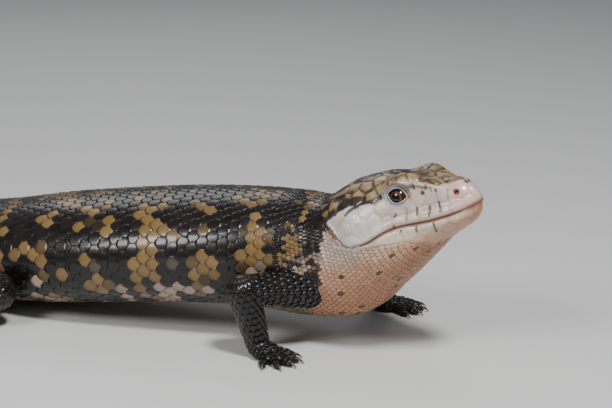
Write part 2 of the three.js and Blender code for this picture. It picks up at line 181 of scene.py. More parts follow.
def mid_point(at):
    return np.stack([np.interp(at, np.arange(BODY_LENGTH + 1), mid_line[:, k]) for k in range(3)], -1)


print("tail end at", mid_line[-1].round(1), "mm")

# %% [markdown]
# The plain section is a rounded oval. The head adds brows, a ridge to the nostril, jaw muscles and the
# line of the mouth with its two lips. They could be sculpted by hand, but here they are smooth humps added
# to the distance from the mid line, which keeps the surface free of creases and the same as the solids.

# %% The body's surface
# Height in mm, then the middle and width of each hump along the head in mm, and round it in degrees
HEAD_HUMPS = {
    "brow": (5, (22.5, 7.5), (29, 11)),
    "ridge to the nostril": (0.6, (13, 7), (40, 12)),
    "hollow before the eye": (-0.7, (17, 6), (64, 14)),
    "flat forehead": (-0.4, (28, 12), (0, 14)),
    "jaw muscle": (1.2, (47, 8), (70, 17)),
    "fold behind the ear": (-0.8, (60, 4), (78, 22)),
}


def side_of(angle):
    """Degrees from the top, the same on both sides."""
    return np.abs((np.asarray(angle, float) + 180) % 360 - 180)


def from_snout(at):
    return np.maximum(0, 1 - at / SNOUT_CAP)


def round_off(at):
    """1 along the body, falling to 0 in a round cap at each end."""
    from_tail = np.maximum(0, 1 - (BODY_LENGTH - at) / TAIL_CAP)
    return np.sqrt(np.maximum(0, 1 - from_snout(at) ** 2)) * np.sqrt(np.maximum(0, 1 - from_tail**2))


def mouth_angle(at):
    return 90 - 5 * hump(at, 29, 9) + 4 * hump(at, 43, 6)


def head_shape(at, side):
    return sum(high * hump(at, *along) * hump(side, *across) for high, along, across in HEAD_HUMPS.values())


def reach_at(at, angle):
    """Distance in mm from the mid line to the skin."""
    turn = np.radians(angle)
    across, upright = np.abs(np.sin(turn)), np.cos(turn)
    above = upright > 0
    wide = np.maximum(wide_at(at) * round_off(at), 1e-3)
    high = np.maximum(np.where(above, over_at(at), under_at(at)) * round_off(at), 1e-3)
    square = np.where(above, square_over_at(at), square_under_at(at))
    plain = ((across / wide) ** square + (np.abs(upright) / high) ** square) ** (-1 / square)
    return plain + head_shape(at, side_of(angle)) * round_off(at)


def before_corner(at):
    """1 along the mouth, 0 behind its corner."""
    return 1 - step(at, MOUTH_CORNER - 4, MOUTH_CORNER + 1)


def mouth_lift(at, height):
    """How far the lips stand out and the line between them lies in, by height over that line."""
    lips = LIP_HEIGHT * (hump(height, LIP_PLACE, LIP_WIDTH) + hump(height, -LIP_PLACE, LIP_WIDTH))
    return before_corner(at) * (lips - MOUTH_GROOVE * hump(height, 0, GROOVE_WIDTH))


def body_points(at, angle, lift=0.0, mouth=1.0):
    """Places on the body in mm, lifted off it. With mouth 0 the groove of the mouth is left out."""
    at, angle = np.broadcast_arrays(np.asarray(at, float), np.asarray(angle, float))
    ahead, left, up = axes_at(at)
    plain = reach_at(at, angle)
    height = plain * np.sin(np.radians(mouth_angle(at) - side_of(angle)))
    facing = from_snout(at)
    reach = plain + lift + mouth * mouth_lift(at, height) * (1 - facing)
    back = facing * (JAW_SETBACK * step(-height, -0.2, 1.2) - SNOUT_LEAN * np.maximum(height, 0))
    back += mouth * 0.5 * facing * hump(height, -0.3, 0.5)
    turn = np.radians(angle)
    points = mid_point(at) + left * (reach * np.sin(turn))[..., None]
    points += up * (reach * np.cos(turn))[..., None] - ahead * back[..., None]
    points[..., 2] = np.maximum(points[..., 2], 0)
    return points


def body_normals(at, angle):
    along = body_points(at - 0.4, angle, mouth=0) - body_points(at + 0.4, angle, mouth=0)
    around = body_points(at, angle + 1, mouth=0) - body_points(at, angle - 1, mouth=0)
    return unit(np.cross(along, around))


def frame_at(at, angle):
    """A place on the body with its outward, headward and leftward-going directions."""
    place = body_points(at, angle)
    along = unit(body_points(at - 0.5, angle) - body_points(at + 0.5, angle))
    around = unit(body_points(at, angle + 1) - body_points(at, angle - 1))
    return place, unit(np.cross(along, around)), along, around


print("snout at", body_points(0.2, 0).round(1), "mm")

# %% [markdown]
# The camera looks at the animal's right side from a little ahead, fifteen degrees down. It is placed by
# the right eye and aimed so that the eye falls on its own pixel. The floor is pale and plain. A small key
# light from the upper right leaves sharp glints on the scales, and a fill, a rim and a pale sky soften the
# shadows.

# %% Camera, floor and lights
IMAGE = (612, 408)
EYE_PIXEL = (395.4, 195.2)
LENS, SENSOR = 100.0, 36.0
VIEW_AZIMUTH, VIEW_ELEVATION = math.radians(15), math.radians(15)
VIEW_DISTANCE = 620
EYE_STATION, EYE_ANGLE = 27.8, 45
HEAD_PLACE, BODY_PLACE, BACK_PLACE = (0.19, -0.02, 0.05), (0.02, 0, 0.04), (0.05, 0, 0.04)


def looking(place, target):
    return (Vector(target) - Vector(place)).to_track_quat("-Z", "Y").to_euler()


def area_light(name, place, target, size, power):
    bpy.ops.object.light_add(type="AREA", location=place)
    light = bpy.context.object
    light.name = name
    light.data.size = size
    light.data.energy = power
    light.rotation_euler = looking(place, target)


eye_spot = body_points(EYE_STATION, RIGHT * EYE_ANGLE)
flat = math.cos(VIEW_ELEVATION)
back_x, back_y = math.sin(VIEW_AZIMUTH) * flat, -math.cos(VIEW_AZIMUTH) * flat
view_back = np.array([back_x, back_y, math.sin(VIEW_ELEVATION)])
view_right = unit(np.cross([0, 0, 1], view_back))
view_up = np.cross(view_back, view_right)
pixel = VIEW_DISTANCE * SENSOR / LENS / IMAGE[0]
off_right = (EYE_PIXEL[0] - IMAGE[0] / 2) * pixel
off_up = (IMAGE[1] / 2 - EYE_PIXEL[1]) * pixel
camera_place = eye_spot + view_back * VIEW_DISTANCE

bpy.ops.object.camera_add(location=Vector(camera_place) * MM)
camera = bpy.context.object
camera.data.lens = LENS
camera.data.sensor_width = SENSOR
camera.data.clip_start = 0.01
camera.rotation_euler = looking(camera_place, eye_spot - view_right * off_right - view_up * off_up)
bpy.context.scene.camera = camera

bpy.ops.mesh.primitive_plane_add(size=8)
floor = bpy.context.object
floor.name = "floor"
floor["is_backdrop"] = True

area_light("key", (0.45, -0.35, 0.75), HEAD_PLACE, 0.14, 7.4)
area_light("fill", (-0.12, -0.6, 0.55), BODY_PLACE, 0.25, 3.6)
area_light("rim", (-0.25, 0.55, 0.6), BACK_PLACE, 0.4, 1.1)
world = bpy.data.worlds.new("studio")
bpy.context.scene.world = world
world.use_nodes = True
world.node_tree.nodes["Background"].inputs["Color"].default_value = (0.82, 0.86, 0.92, 1)
world.node_tree.nodes["Background"].inputs["Strength"].default_value = 0.2
print("camera", camera_place.round(0), "mm")

# %% [markdown]
# The markings of the animal run over skin and scales alike. Painting them by hand on each piece would be
# long, so each vertex carries a colour that is worked out from its place. A small seeded noise breaks the
# colours up. It is written here in a few lines, because it is needed while the meshes are made.

# %% Noise and colours
def scatter(*cells, seed=0):
    """A number from 0 to 1 that looks drawn by chance but is always the same for the same cell."""
    total = np.zeros(np.shape(cells[0])) + seed * 12.9898
    for cell, factor in zip(cells, (127.1, 311.7, 74.7)):
        total = total + cell * factor
    value = np.sin(total) * 43758.5453
    return value - np.floor(value)


def noise(points, size, seed=0):
    """Smooth noise from 0 to 1 over points in mm, with patches of about the given size."""
    p = np.asarray(points, float) / size
    cell = np.floor(p)
    t = p - cell
    t = t * t * (3 - 2 * t)
    total = 0
    for corner in np.ndindex(2, 2, 2):
        weight = np.where(corner, t, 1 - t).prod(-1)
        total = total + weight * scatter(*np.moveaxis(cell + corner, -1, 0), seed=seed)
    return total


def warp(points, size, seeds):
    """Moves from -0.5 to 0.5 in three directions, one from each seed's noise."""
    return np.stack([noise(points, size, seed=k) for k in seeds], -1) - 0.5


def shade(red, green, blue):
    """A colour given as 0 to 255 on the screen, as linear light."""
    screen = np.array([red, green, blue]) / 255
    return np.where(screen < 0.04, screen / 12.92, ((screen + 0.055) / 1.055) ** 2.4)


def tint(base, colour, amount):
    return base + (colour - base) * np.clip(amount, 0, 1)[..., None]


def washed(base, *washes):
    """A colour with washes laid over it in turn. Each wash is a colour and how much of it there is."""
    for colour, amount in washes:
        base = tint(base, colour, amount)
    return base


BLACK = shade(22, 18, 17)
BROWN_BLACK = shade(42, 30, 24)
# Brown of small marks on the head, and of the line along the jaw crease, where it is painted shade
MARK_AND_CREASE_SHADE_BROWN = shade(128, 84, 62)
MUSTARD = shade(124, 95, 46)
TAN = shade(130, 108, 76)
CREAM = shade(206, 190, 168)
PINK_CREAM = shade(180, 156, 140)
PALE = shade(184, 166, 154)
CHEEK = shade(192, 184, 178)
SNOUT_PINK = shade(200, 164, 156)
# Red round the nostrils, and the dark painted inside them, which is painted shade
NOSTRIL_RED, NOSTRIL_SHADOW = shade(150, 62, 62), shade(40, 14, 14)
SHIELD_TAN, SHIELD_GLOW = shade(120, 96, 64), shade(182, 156, 116)
SHIELD_DARK = shade(44, 34, 27)
ROSY = shade(176, 140, 128)
# The pale cream along the ridge from the brow to the snout is a painted highlight
RIDGE_HIGHLIGHT = shade(226, 212, 194)
# The deeper orange under the throat is partly its own colour, partly painted shade and painted warm bounce
# light
THROAT, THROAT_ORANGE_AND_SHADE = shade(198, 154, 124), shade(176, 118, 80)
MOUTH_BROWN, MOUTH_RED = shade(112, 60, 36), shade(128, 62, 50)
EAR_SKIN = shade(150, 110, 96)
NECK_SKIN, NECK_PALE = shade(168, 140, 122), shade(190, 172, 160)
BELLY, BELLY_PALE = shade(112, 94, 78), shade(176, 154, 132)
LEG_BLACK = shade(20, 18, 19)
print("black in linear light", BLACK.round(4))

# %% [markdown]
# A few helpers make every mesh here. One turns points in mm and faces into an object, and turns the faces
# outward if they came inside out. Others make the faces of a tube: rows of points that each go all the way
# round, closed by a point at each end.

# %% Making meshes
def make_piece(name, points, faces):
    """A smooth object from points in mm and faces, all facing outward."""
    points, faces = np.asarray(points, float), np.asarray(faces)
    corners = points[faces]
    volume = (corners[:, :1] * np.cross(corners[:, 1:-1], corners[:, 2:])).sum()
    if volume < 0:
        faces = faces[:, ::-1]
    mesh = bpy.data.meshes.new(name)
    mesh.from_pydata((points * MM).tolist(), [], faces.tolist())
    piece = bpy.data.objects.new(name, mesh)
    bpy.context.collection.objects.link(piece)
    smooth(piece)
    return piece


def smooth(piece):
    piece.data.polygons.foreach_set("use_smooth", np.ones(len(piece.data.polygons), bool))


def round_faces(rows, columns, closed=False):
    """Faces between rows that go all the way round. When closed, the last row meets the first."""
    starts = np.arange(rows if closed else rows - 1)
    i, j = (k.ravel() for k in np.meshgrid(starts, np.arange(columns), indexing="ij"))
    after, below = (j + 1) % columns, (i + 1) % rows
    return np.stack([i * columns + j, i * columns + after, below * columns + after, below * columns + j], -1)


def halves(quads):
    return np.vstack([quads[:, [0, 1, 2]], quads[:, [0, 2, 3]]])


def tube_piece(name, rows):
    """A closed tube of triangles from rows shaped (rows, columns, 3)."""
    count, columns = rows.shape[:2]
    points = np.vstack([rows.reshape(-1, 3), rows[0].mean(0), rows[-1].mean(0)])
    front, back = len(points) - 2, len(points) - 1
    j = np.arange(columns)
    after, last = (j + 1) % columns, (count - 1) * columns
    front_fan = np.stack([front + 0 * j, after, j], -1)
    back_fan = np.stack([back + 0 * j, last + j, last + after], -1)
    return make_piece(name, points, np.vstack([halves(round_faces(count, columns)), front_fan, back_fan]))


def store_colour(piece, colour):
    """Keeps a colour for each vertex."""
    layer = piece.data.color_attributes.new("Colour", "FLOAT_COLOR", "POINT")
    opaque = np.hstack([colour, np.ones((len(colour), 1))])
    layer.data.foreach_set("color", opaque.astype(np.float32).ravel())


def places_of(piece):
    """The piece's vertices in mm."""
    flat = np.empty(len(piece.data.vertices) * 3, np.float32)
    piece.data.vertices.foreach_get("co", flat)
    return flat.reshape(-1, 3).astype(float) / MM


def select_only(pieces):
    bpy.ops.object.select_all(action="DESELECT")
    for piece in pieces:
        piece.select_set(True)
    bpy.context.view_layer.objects.active = pieces[0]


def joined(pieces):
    select_only(pieces)
    bpy.ops.object.join()
    return bpy.context.object


def apply_modifier(piece, kind, **settings):
    select_only([piece])
    modifier = piece.modifiers.new(kind, kind)
    for key, value in settings.items():
        setattr(modifier, key, value)
    bpy.ops.object.modifier_apply(modifier=modifier.name)


print("a ring of 8 points in 3 rows has", len(round_faces(3, 8)), "faces")

# %% [markdown]
# The head of a skink is covered by large shields that fit together like tiles. They could be cut one by
# one, but then the seams would have to be matched by hand. Here each shield is a seed on the head, and a
# place belongs to the nearest seed. The distance to the border between two seeds gives the groove between
# the shields and its dark line. The long frontal shield has three seeds that count as one.

# %% Head shields
# Darkness of the edge, then the seeds of one shield as station and angle from the top
SHIELDS = {
    "snout": [(0.2, (0.6, 0)), (0.25, (4.5, 33))],
    "top": [
        (0.6, (9.5, 0)), (0.8, (14.5, 15)), (0.85, (19.5, 27)), (0.8, (24.5, 25)), (0.85, (29, 22)),
        (0.8, (15, 27)), (0.9, (34.5, 24)), (0.9, (40, 32)), (0.9, (46, 29)), (0.9, (52, 30)),
    ],
    "frontal": [(1.0, (20.5, 0), (23.5, 0), (27, 0))],
    "brow": [(0.6, (24, 34)), (0.6, (28, 34)), (0.7, (32.5, 36))],
    "dark": [
        (0.9, (33, 8)), (0.9, (38, 0)), (0.9, (39.5, 14)), (0.9, (45, 13)), (0.8, (45, 0), (50, 0)),
        (0.8, (52, 14)),
    ],
    "temple": [(0.8, (37, 43)), (0.8, (42.5, 41)), (0.8, (48.5, 42)), (0.7, (54.5, 43))],
    "cheek": [
        (0.12, (39, 58)), (0.14, (45.5, 61)), (0.14, (52, 60)), (0.08, (36, 73)), (0.08, (42.5, 75)),
        (0.1, (49, 74)), (0.08, (47.5, 87)),
    ],
    "side": [
        (0.2, (10.3, 47)), (0.14, (15, 48)), (0.14, (19.5, 50)), (0.1, (24, 62)), (0.1, (28.5, 64)),
        (0.12, (33, 60)),
    ],
    "lip": [(0.16, (at, 76)) for at in (3.2, 7.0, 10.8, 14.6, 18.6, 23.6, 28.2, 32.4)],
    "jaw": [(0.2, (at, 100)) for at in (4.5, 8.7, 13, 20, 26, 32)],
    "chin": [
        (0.15, (1.5, 178)), (0.2, (6, 178)), (0.2, (8.5, 140)), (0.2, (13.5, 150)), (0.2, (18.5, 160)),
        (0.2, (12, 118)), (0.2, (18.5, 124)), (0.2, (25, 117)), (0.2, (32, 113)),
    ],
}
SHIELD_COLOURS = {
    "snout": SNOUT_PINK,
    "top": SHIELD_TAN,
    "dark": SHIELD_DARK,
    "frontal": shade(72, 36, 24),
    "brow": shade(134, 108, 78),
    "temple": shade(126, 98, 66),
    "cheek": CHEEK,
    "side": PALE,
    "lip": shade(192, 174, 162),
    "jaw": CREAM,
    "chin": shade(200, 174, 150),
}
ON_MID_LINE = (0, 178)
SHIELD_GROOVE, SHIELD_DOME = 0.26, 0.22

seeds, seed_shield = [], []
shield_colour, shield_dark = [], []
for group, shields in SHIELDS.items():
    for darkness, *places in shields:
        for s in (LEFT,) if places[0][1] in ON_MID_LINE else (LEFT, RIGHT):
            seeds += [body_points(at, s * angle, mouth=0) for at, angle in places]
            seed_shield += [len(shield_colour)] * len(places)
            shield_colour.append(SHIELD_COLOURS[group])
            shield_dark.append(darkness)
seeds, seed_shield = np.array(seeds), np.array(seed_shield)
shield_colour, shield_dark = np.array(shield_colour), np.array(shield_dark)


def shields_at(points):
    """Which shield each point is on, the next one, and the distance in mm to the border between them."""
    bent = points + 0.5 * warp(points, 3, (1, 2, 3))
    far = ((bent[:, None] - seeds[None]) ** 2).sum(-1)
    first = far.argmin(1)
    here = seed_shield[first]
    others = np.where(seed_shield[None] == here[:, None], 1e9, far)
    second = others.argmin(1)
    row = np.arange(len(points))
    between = np.linalg.norm(seeds[first] - seeds[second], axis=-1)
    return here, seed_shield[second], (far[row, second] - far[row, first]) / (2 * between)


def scales_start(side):
    """The station where the overlapping scales take over from the shields, going round from the top."""
    sides = [0, 66, 75, 84, 91, 94, 97, 102, 108, 125, 180]
    return np.interp(side, sides, [57, 57.5, 54.5, 53, 51.5, 47, 41, 34, 29, 22, 17])


print(len(shield_colour), "shields")

# %% [markdown]
# The nostrils, ears and eyes are set into the grid of the head. Each has a frame of its own: a place, the
# way out of the head, and two directions on the skin. The ear is a slanting slit with a few lobes on its
# front edge, painted cream: partly their own pale colour and partly a painted highlight. The eye looks a
# little ahead and up, and its slit slopes down towards the snout.

# %% Frames of the eyes, nostrils and ears
EYE_RADIUS, EYE_SUNK = 4.6, 4.2
EYE_LEAN, EYE_RISE, EYE_TILT = 24, 14, 20
LID_RADIUS, SLIT_LENGTH, UPPER_LID, LOWER_LID = 5.5, 7.1, 2.5, 2.8
LID_OUTER = (6.4, 5.0)
SOCKET_DEPTH = 5.5
NOSTRIL = dict(at=5.8, angle=40, radius=1.05, depth=1.3, rim=0.3)
EAR = dict(at=56, angle=72, along=1.7, girth=3.7, depth=2.8, rim=0.35, tilt=38)
EAR_LOBES, LOBE_WIDTH, LOBE_HEIGHT, LOBE_SWELL = 3, 0.75, 2.6, 0.5


def tangent(degrees):
    return math.tan(math.radians(degrees))


def eye_frame(s):
    ahead, left, up = axes_at(EYE_STATION)
    place, out, _, _ = frame_at(EYE_STATION, s * EYE_ANGLE)
    gaze = unit(left * s + ahead * tangent(EYE_LEAN) + up * tangent(EYE_RISE))
    slit = ahead - up * tangent(EYE_TILT)
    slit = unit(slit - gaze * (slit @ gaze))
    above = np.cross(gaze, slit)
    return place - out * EYE_SUNK, gaze, slit, above * np.sign(above[2])


def ear_frame(s):
    place, out, along, _ = frame_at(EAR["at"], s * EAR["angle"])
    down = np.cross(out, along) * s
    tilt = math.radians(EAR["tilt"])
    slit = down * math.cos(tilt) + along * math.sin(tilt)
    return place, out, slit, np.cross(slit, out) * s


EYES = {s: eye_frame(s) for s in (LEFT, RIGHT)}
EARS = {s: ear_frame(s) for s in (LEFT, RIGHT)}
NOSTRILS = {s: frame_at(NOSTRIL["at"], s * NOSTRIL["angle"])[:2] for s in (LEFT, RIGHT)}


def in_eye(points, s):
    """How far points are from the eye's axis, where 1 is the outer edge of the lids."""
    centre, gaze, slit, above = EYES[s]
    d = points - centre
    away = np.hypot(d @ slit / LID_OUTER[0], d @ above / LID_OUTER[1])
    return np.where(d @ gaze > -1, away, 9)


def in_ear(points, s):
    """How far points are from the middle of the ear, where 1 is its edge."""
    place, out, slit, front = EARS[s]
    d = points - place
    away = np.hypot(d @ slit / EAR["girth"], d @ front / EAR["along"])
    return np.where(np.abs(d @ out) < 5, away, 9)


print("eyes look along", EYES[RIGHT][1].round(2))

# %% [markdown]
# The skin starts as a grid over the whole body. It has close rows on the head, where the detail is, and
# rows 5 mm apart behind it, so the mesh stays light. Its columns crowd at the line of the mouth. Where
# scales will lie on it, it stays inside the solids by the depth of the scales.

# %% The body's grid
COAT = 0.35
FINE_ROW, TRUNK_ROW = 0.36, 5.0
FINE_END, HEAD_END = 62, 64
COLUMNS_ABOVE, COLUMNS_BELOW = 84, 46


def spread(low, high, count, middle, width, more):
    """Angles from low to high that lie closer together round a middle."""
    a = np.linspace(low, high, 721)
    total = np.concatenate([[0], np.cumsum(1 + more * hump((a[1:] + a[:-1]) / 2, middle, width))])
    return np.interp(np.linspace(0, total[-1], count + 1), total, a)


above_mouth = spread(0, 90, COLUMNS_ABOVE, 90, 7, 2.2)
below_mouth = spread(90, 180, COLUMNS_BELOW, 90, 9, 3.2)
half = np.concatenate([above_mouth, below_mouth[1:]])
columns = np.concatenate([half, -half[-2:0:-1]])
cap = SNOUT_CAP * (1 - np.cos(np.radians(np.arange(3, 90, 3.4))))
fine = np.arange(SNOUT_CAP, FINE_END, FINE_ROW)
growing = FINE_END + np.cumsum(np.concatenate([np.linspace(0.6, 4.8, 9), np.full(99, TRUNK_ROW)]))
growing = growing[growing < BODY_LENGTH - TAIL_CAP]
tail_cap = BODY_LENGTH - TAIL_CAP * (1 - np.sin(np.radians(np.arange(0, 88, 14))))
stations = np.concatenate([cap, fine, growing, tail_cap])
at, angle = np.meshgrid(stations, columns, indexing="ij")
angle = angle + np.sign(angle) * (mouth_angle(at) - 90) * np.sin(np.radians(angle)) ** 2
side = side_of(angle)
scaled = step(at, scales_start(side) - 0.6, scales_start(side) + 1.4)
body = body_points(at, angle, lift=-COAT * scaled)
body[..., 2] = np.maximum(body[..., 2], COAT * scaled)
normals = body_normals(at, angle)

head_rows = int((stations < HEAD_END).sum())
head = body[:head_rows].reshape(-1, 3)
head_normals = normals[:head_rows].reshape(-1, 3)
head_at, head_angle = at[:head_rows].ravel(), angle[:head_rows].ravel()
head_side, head_scaled = side_of(head_angle), scaled[:head_rows].ravel()
bare = 1 - head_scaled
plain_head = body_points(head_at, head_angle, mouth=0)
print("head rows", head_rows, "and", stations.size, "rows of", columns.size)

# %% [markdown]
# Each shield is a low dome with a groove round it. The shields on top have deep dark seams, and those on
# the cheeks and lips are almost flush. The colours are laid on like thin washes of paint, one after the
# other, because that is how the pale, rosy and brown tones run into each other on the animal. Two washes
# are painted light: a painted highlight along the ridge from the brow to the snout, and painted shade that
# deepens the orange under the throat.

# %% Relief and colours of the shields
here, beside, border = shields_at(plain_head)
dark = 0.5 * (shield_dark[here] + shield_dark[beside])
relief = 0.4 + 0.6 * dark
dome = SHIELD_DOME * (1 - np.exp(-border / 0.9)) - SHIELD_GROOVE * hump(border, 0, 0.42)
lift = bare * relief * dome - 0.06 * bare
lift += 0.4 * bare * hump(head_side, 35, 3.5) * step(head_at, 8, 12) * (1 - step(head_at, 25, 28))

grain = noise(plain_head, 1.6, seed=4)
patch = noise(plain_head, 4, seed=5)
rosy = noise(plain_head, 3.2, seed=10) * (1 - step(dark, 0.3, 0.5))
mottle = step(noise(plain_head, 2.0, seed=6), 0.56, 0.64) * step(dark, 0.5, 0.75)
glow = step(patch, 0.45, 0.65) * step(dark, 0.5, 0.75)
seam = np.sqrt(dark) * hump(border, 0, 0.26 + 0.62 * dark * (0.35 + grain))
# Where the painted highlight lies, along the ridge from the brow to the snout
ridge = hump(head_side, 35.5, 1.4) * step(head_at, 9, 12) * (1 - step(head_at, 25, 28))
snout = (1 - step(head_at, 6, 11)) * np.maximum(step(head_side, 14, 26), 1 - step(head_at, 2, 3.5))
head_colour = washed(
    shield_colour[here] * (0.86 + 0.28 * patch)[:, None],
    (THROAT, step(head_side, 99, 122)),
    # Deeper orange under the throat: partly its own colour, partly painted shade and painted warm bounce
    # light
    (THROAT_ORANGE_AND_SHADE, 0.8 * step(head_side, 112, 155)),
    (ROSY, 0.45 * step(rosy, 0.5, 0.8)),
    (SHIELD_DARK, 0.8 * mottle),
    (SHIELD_GLOW, 0.4 * glow),
    (BROWN_BLACK, seam * (0.35 + 0.65 * step(dark, 0.1, 0.5))),
    # Painted highlight: a pale line along the ridge
    (RIDGE_HIGHLIGHT, 0.75 * ridge),
    (SNOUT_PINK, 0.5 * snout * (1 - step(head_side, 78, 95))),
)
print("shields stand out by up to", (lift.max() - lift.min()).round(2), "mm")

# %% [markdown]
# The dark marks of the head are drawn as short lines through places on it. The streak behind the eye is
# broken into patches, three seams of the upper lip are black, and small ticks stand along the ridge of the
# snout. A little noise bends each broad line, so the two sides are alike without being mirror images.

# %% Dark marks
# Width in mm, then the stations and angles it runs through
BLACK_MARKS = [
    (1.3, [(31.6, 43), (33.2, 45)]),
    (0.8, [(33, 45), (36, 48), (39, 50), (43.5, 54), (47, 60)]),
    (2.3, [(40.8, 46.5), (44.5, 46.5)]),
    (2.6, [(47.5, 47.5), (50, 49)]),
    (1.2, [(50, 49), (52.3, 55)]),
    (2.2, [(55, 53), (58.5, 55)]),
    (1.9, [(50, 38), (54.5, 36)]),
    (1.0, [(37, 36), (38.5, 38)]),
    (0.5, [(19.7, 36), (19.9, 40)]),
    (0.45, [(15.7, 35.5), (15.8, 39.5)]),
    (0.4, [(14.2, 38), (14.2, 41)]),
    (0.4, [(12.7, 39), (12.7, 42)]),
    (0.8, [(17.3, 43), (17.6, 43.6)]),
    (0.5, [(20.9, 62), (21.4, 73)]),
    (0.5, [(16.2, 62.5), (17, 79)]),
    (0.5, [(12.5, 57), (12.8, 76)]),
    (0.42, [(22.7, 91), (23.4, 100)]),
    (0.5, [(16.2, 94), (17, 113)]),
    (0.45, [(28.8, 66.5), (29.5, 69.5)]),
    (0.45, [(30.4, 81), (30.9, 85)]),
    (0.4, [(28.4, 89.5), (28.6, 92)]),
    (1.2, [(8.9, 14), (9.5, 17.5)]),
    (0.8, [(3.1, 5), (3.5, 6.5)]),
]
# The fold from the ear to the mouth corner. The brown line drawn along it is painted shade in the fold
JAW_CREASE = [(58, 66), (54.8, 73), (53, 80), (51.6, 88), (49.5, 92), (46.5, 94)]
BROWN_MARKS_AND_CREASE_SHADE = [(0.35, [(8.4, 36), (8.8, 54)]), (0.3, [(24.6, 60), (25.4, 78)]), (0.45, JAW_CREASE)]
BROAD_MARK = 0.6
CREASE_DEPTH, CREASE_WIDTH = 0.45, 0.7


def away_from(points, places, s):
    """Distance in mm from each point to a line through places on one side of the head."""
    line = body_points(*(np.array(places, float) * (1, s)).T, mouth=0)
    nearest = np.full(len(points), 99.0)
    for a, b in zip(line[:-1], line[1:]):
        t = np.clip((points - a) @ (b - a) / ((b - a) @ (b - a)), 0, 1)
        nearest = np.minimum(nearest, np.linalg.norm(points - a - t[:, None] * (b - a), axis=-1))
    return nearest


warped = plain_head + 0.7 * warp(plain_head, 1.7, (7, 8, 9))
# Brown lines first, among them the painted shade along the jaw crease, then the black marks
for marks, ink in ((BROWN_MARKS_AND_CREASE_SHADE, MARK_AND_CREASE_SHADE_BROWN), (BLACK_MARKS, BLACK)):
    for width, places in marks:
        for s in (LEFT, RIGHT):
            away = away_from(warped if width > BROAD_MARK else plain_head, places, s)
            drawn = 1 - step(away, 0.85 * width - 0.16, 0.85 * width + 0.14)
            head_colour = tint(head_colour, ink, 0.92 * drawn * bare)
crease = np.minimum(*(away_from(plain_head, JAW_CREASE, s) for s in (LEFT, RIGHT)))
lift -= CREASE_DEPTH * hump(crease, 0, CREASE_WIDTH)
print(len(BLACK_MARKS) + len(BROWN_MARKS_AND_CREASE_SHADE), "marks on each side")

# %% [markdown]
# The line of the mouth, the nostrils, the ears and the eye sockets are now pressed into the grid. A
# boolean cut would leave a hard edge, and moving the points along the way out of the head gives the soft
# rim of skin.

# %% Mouth, nostrils, ears and sockets
height = reach_at(head_at, head_angle) * np.sin(np.radians(mouth_angle(head_at) - head_side))
in_mouth = before_corner(head_at) * hump(height, 0, 0.7)
front = (1 - step(head_at, 2, 8)) * hump(height, -0.4, 1.4)
head_colour = washed(head_colour, (MOUTH_BROWN, 0.9 * in_mouth), (MOUTH_RED, 0.55 * front))
head += head_normals * (lift * (1 - in_mouth))[:, None]
head_faces = round_faces(head_rows, columns.size).tolist()
head_tree = BVHTree.FromPolygons([Vector(p) for p in head], head_faces)

for s in (LEFT, RIGHT):
    place, out = NOSTRILS[s]
    away = np.linalg.norm(head - place, axis=-1)
    hole = 1 - step(away, NOSTRIL["radius"] * 0.55, NOSTRIL["radius"] * 1.1)
    rim = NOSTRIL["rim"] * hump(away, NOSTRIL["radius"] * 1.5, 0.5)
    head += out * (rim - NOSTRIL["depth"] * hole)[:, None]
    red = 0.85 * (1 - step(away, 0.8, 1.7))
    # Red round each nostril; the dark inside its hole is painted shade
    head_colour = washed(head_colour, (NOSTRIL_RED, red), (NOSTRIL_SHADOW, 0.9 * hole))

    place, out, slit, front = EARS[s]
    away = in_ear(head, s)
    cup = 1 - step(away, 0.45, 1.05)
    # The brown-black inside the ear opening is painted shade
    head_colour = washed(head_colour, (EAR_SKIN, 1 - step(away, 0.8, 1.3)), (BROWN_BLACK, cup))
    head += out * (EAR["rim"] * hump(away, 1.25, 0.25) - EAR["depth"] * cup)[:, None]
    for k in range(EAR_LOBES):
        down = ((k + 0.5) / EAR_LOBES - 0.5) * 1.5 * EAR["girth"]
        lobe = place + slit * down + front * EAR["along"] * 0.85
        near = hump(np.linalg.norm(np.cross(head - lobe, out), axis=-1), 0, LOBE_WIDTH)
        head += out * (LOBE_HEIGHT * near * cup + LOBE_SWELL * near)[:, None]
        # Cream on the lobes: partly their own pale colour, partly a painted highlight
        head_colour = tint(head_colour, CREAM, 1.3 * near)

    head -= EYES[s][1] * (SOCKET_DEPTH * (1 - step(in_eye(head, s), 0.5, 0.86)))[:, None]
body[:head_rows] = head.reshape(head_rows, -1, 3)
print("nostrils at", [float(v) for v in NOSTRILS[RIGHT][0].round(1)], "mm")

# %% [markdown]
# The throat and the sides of the neck are pale, and the trunk behind them is black. The border between the
# two is wavy and runs from behind the crown down to the shoulder. The skin shows only in thin lines
# between the scales, so it has the plain tone of its own stretch of the body.

# %% Skin between the scales
def neck_end(at, angle, points):
    """How pale a place is: 1 on the neck, 0 on the black of the trunk, with a wavy border."""
    sides = [0, 50, 62, 72, 87, 108, 128, 138, 180]
    border = np.interp(side_of(angle), sides, [53, 54, 58, 61.5, 63.2, 66, 69.7, 72, 80])
    return 1 - step(at + 6 * (noise(points, 7, seed=25) - 0.5), border - 1, border + 1)


def trunk_colour(points, at, angle):
    # Under the neck the skin gets the deeper orange: partly its own colour, partly painted shade and bounce
    # light
    neck = tint(NECK_SKIN, THROAT_ORANGE_AND_SHADE, step(side_of(angle), 95, 150))
    return tint(BROWN_BLACK * 0.8, neck, neck_end(at, angle, points))


colour = trunk_colour(body.reshape(-1, 3), at.ravel(), angle.ravel())
colour[: len(head)] = head_colour * bare[:, None] + colour[: len(head)] * (1 - bare[:, None])
print("coloured", len(colour), "points")

# %% [markdown]
# The lids are a ring of skin round each eye, from the almond slit out to the brow. Its points stand round
# the line of sight, which gives the small folds of the lids an even spacing that the grid of the head
# couldn't give. Near the slit the ring lies on the eyeball. Further out it lies on the head, where a ray
# finds the height and colour of the skin.

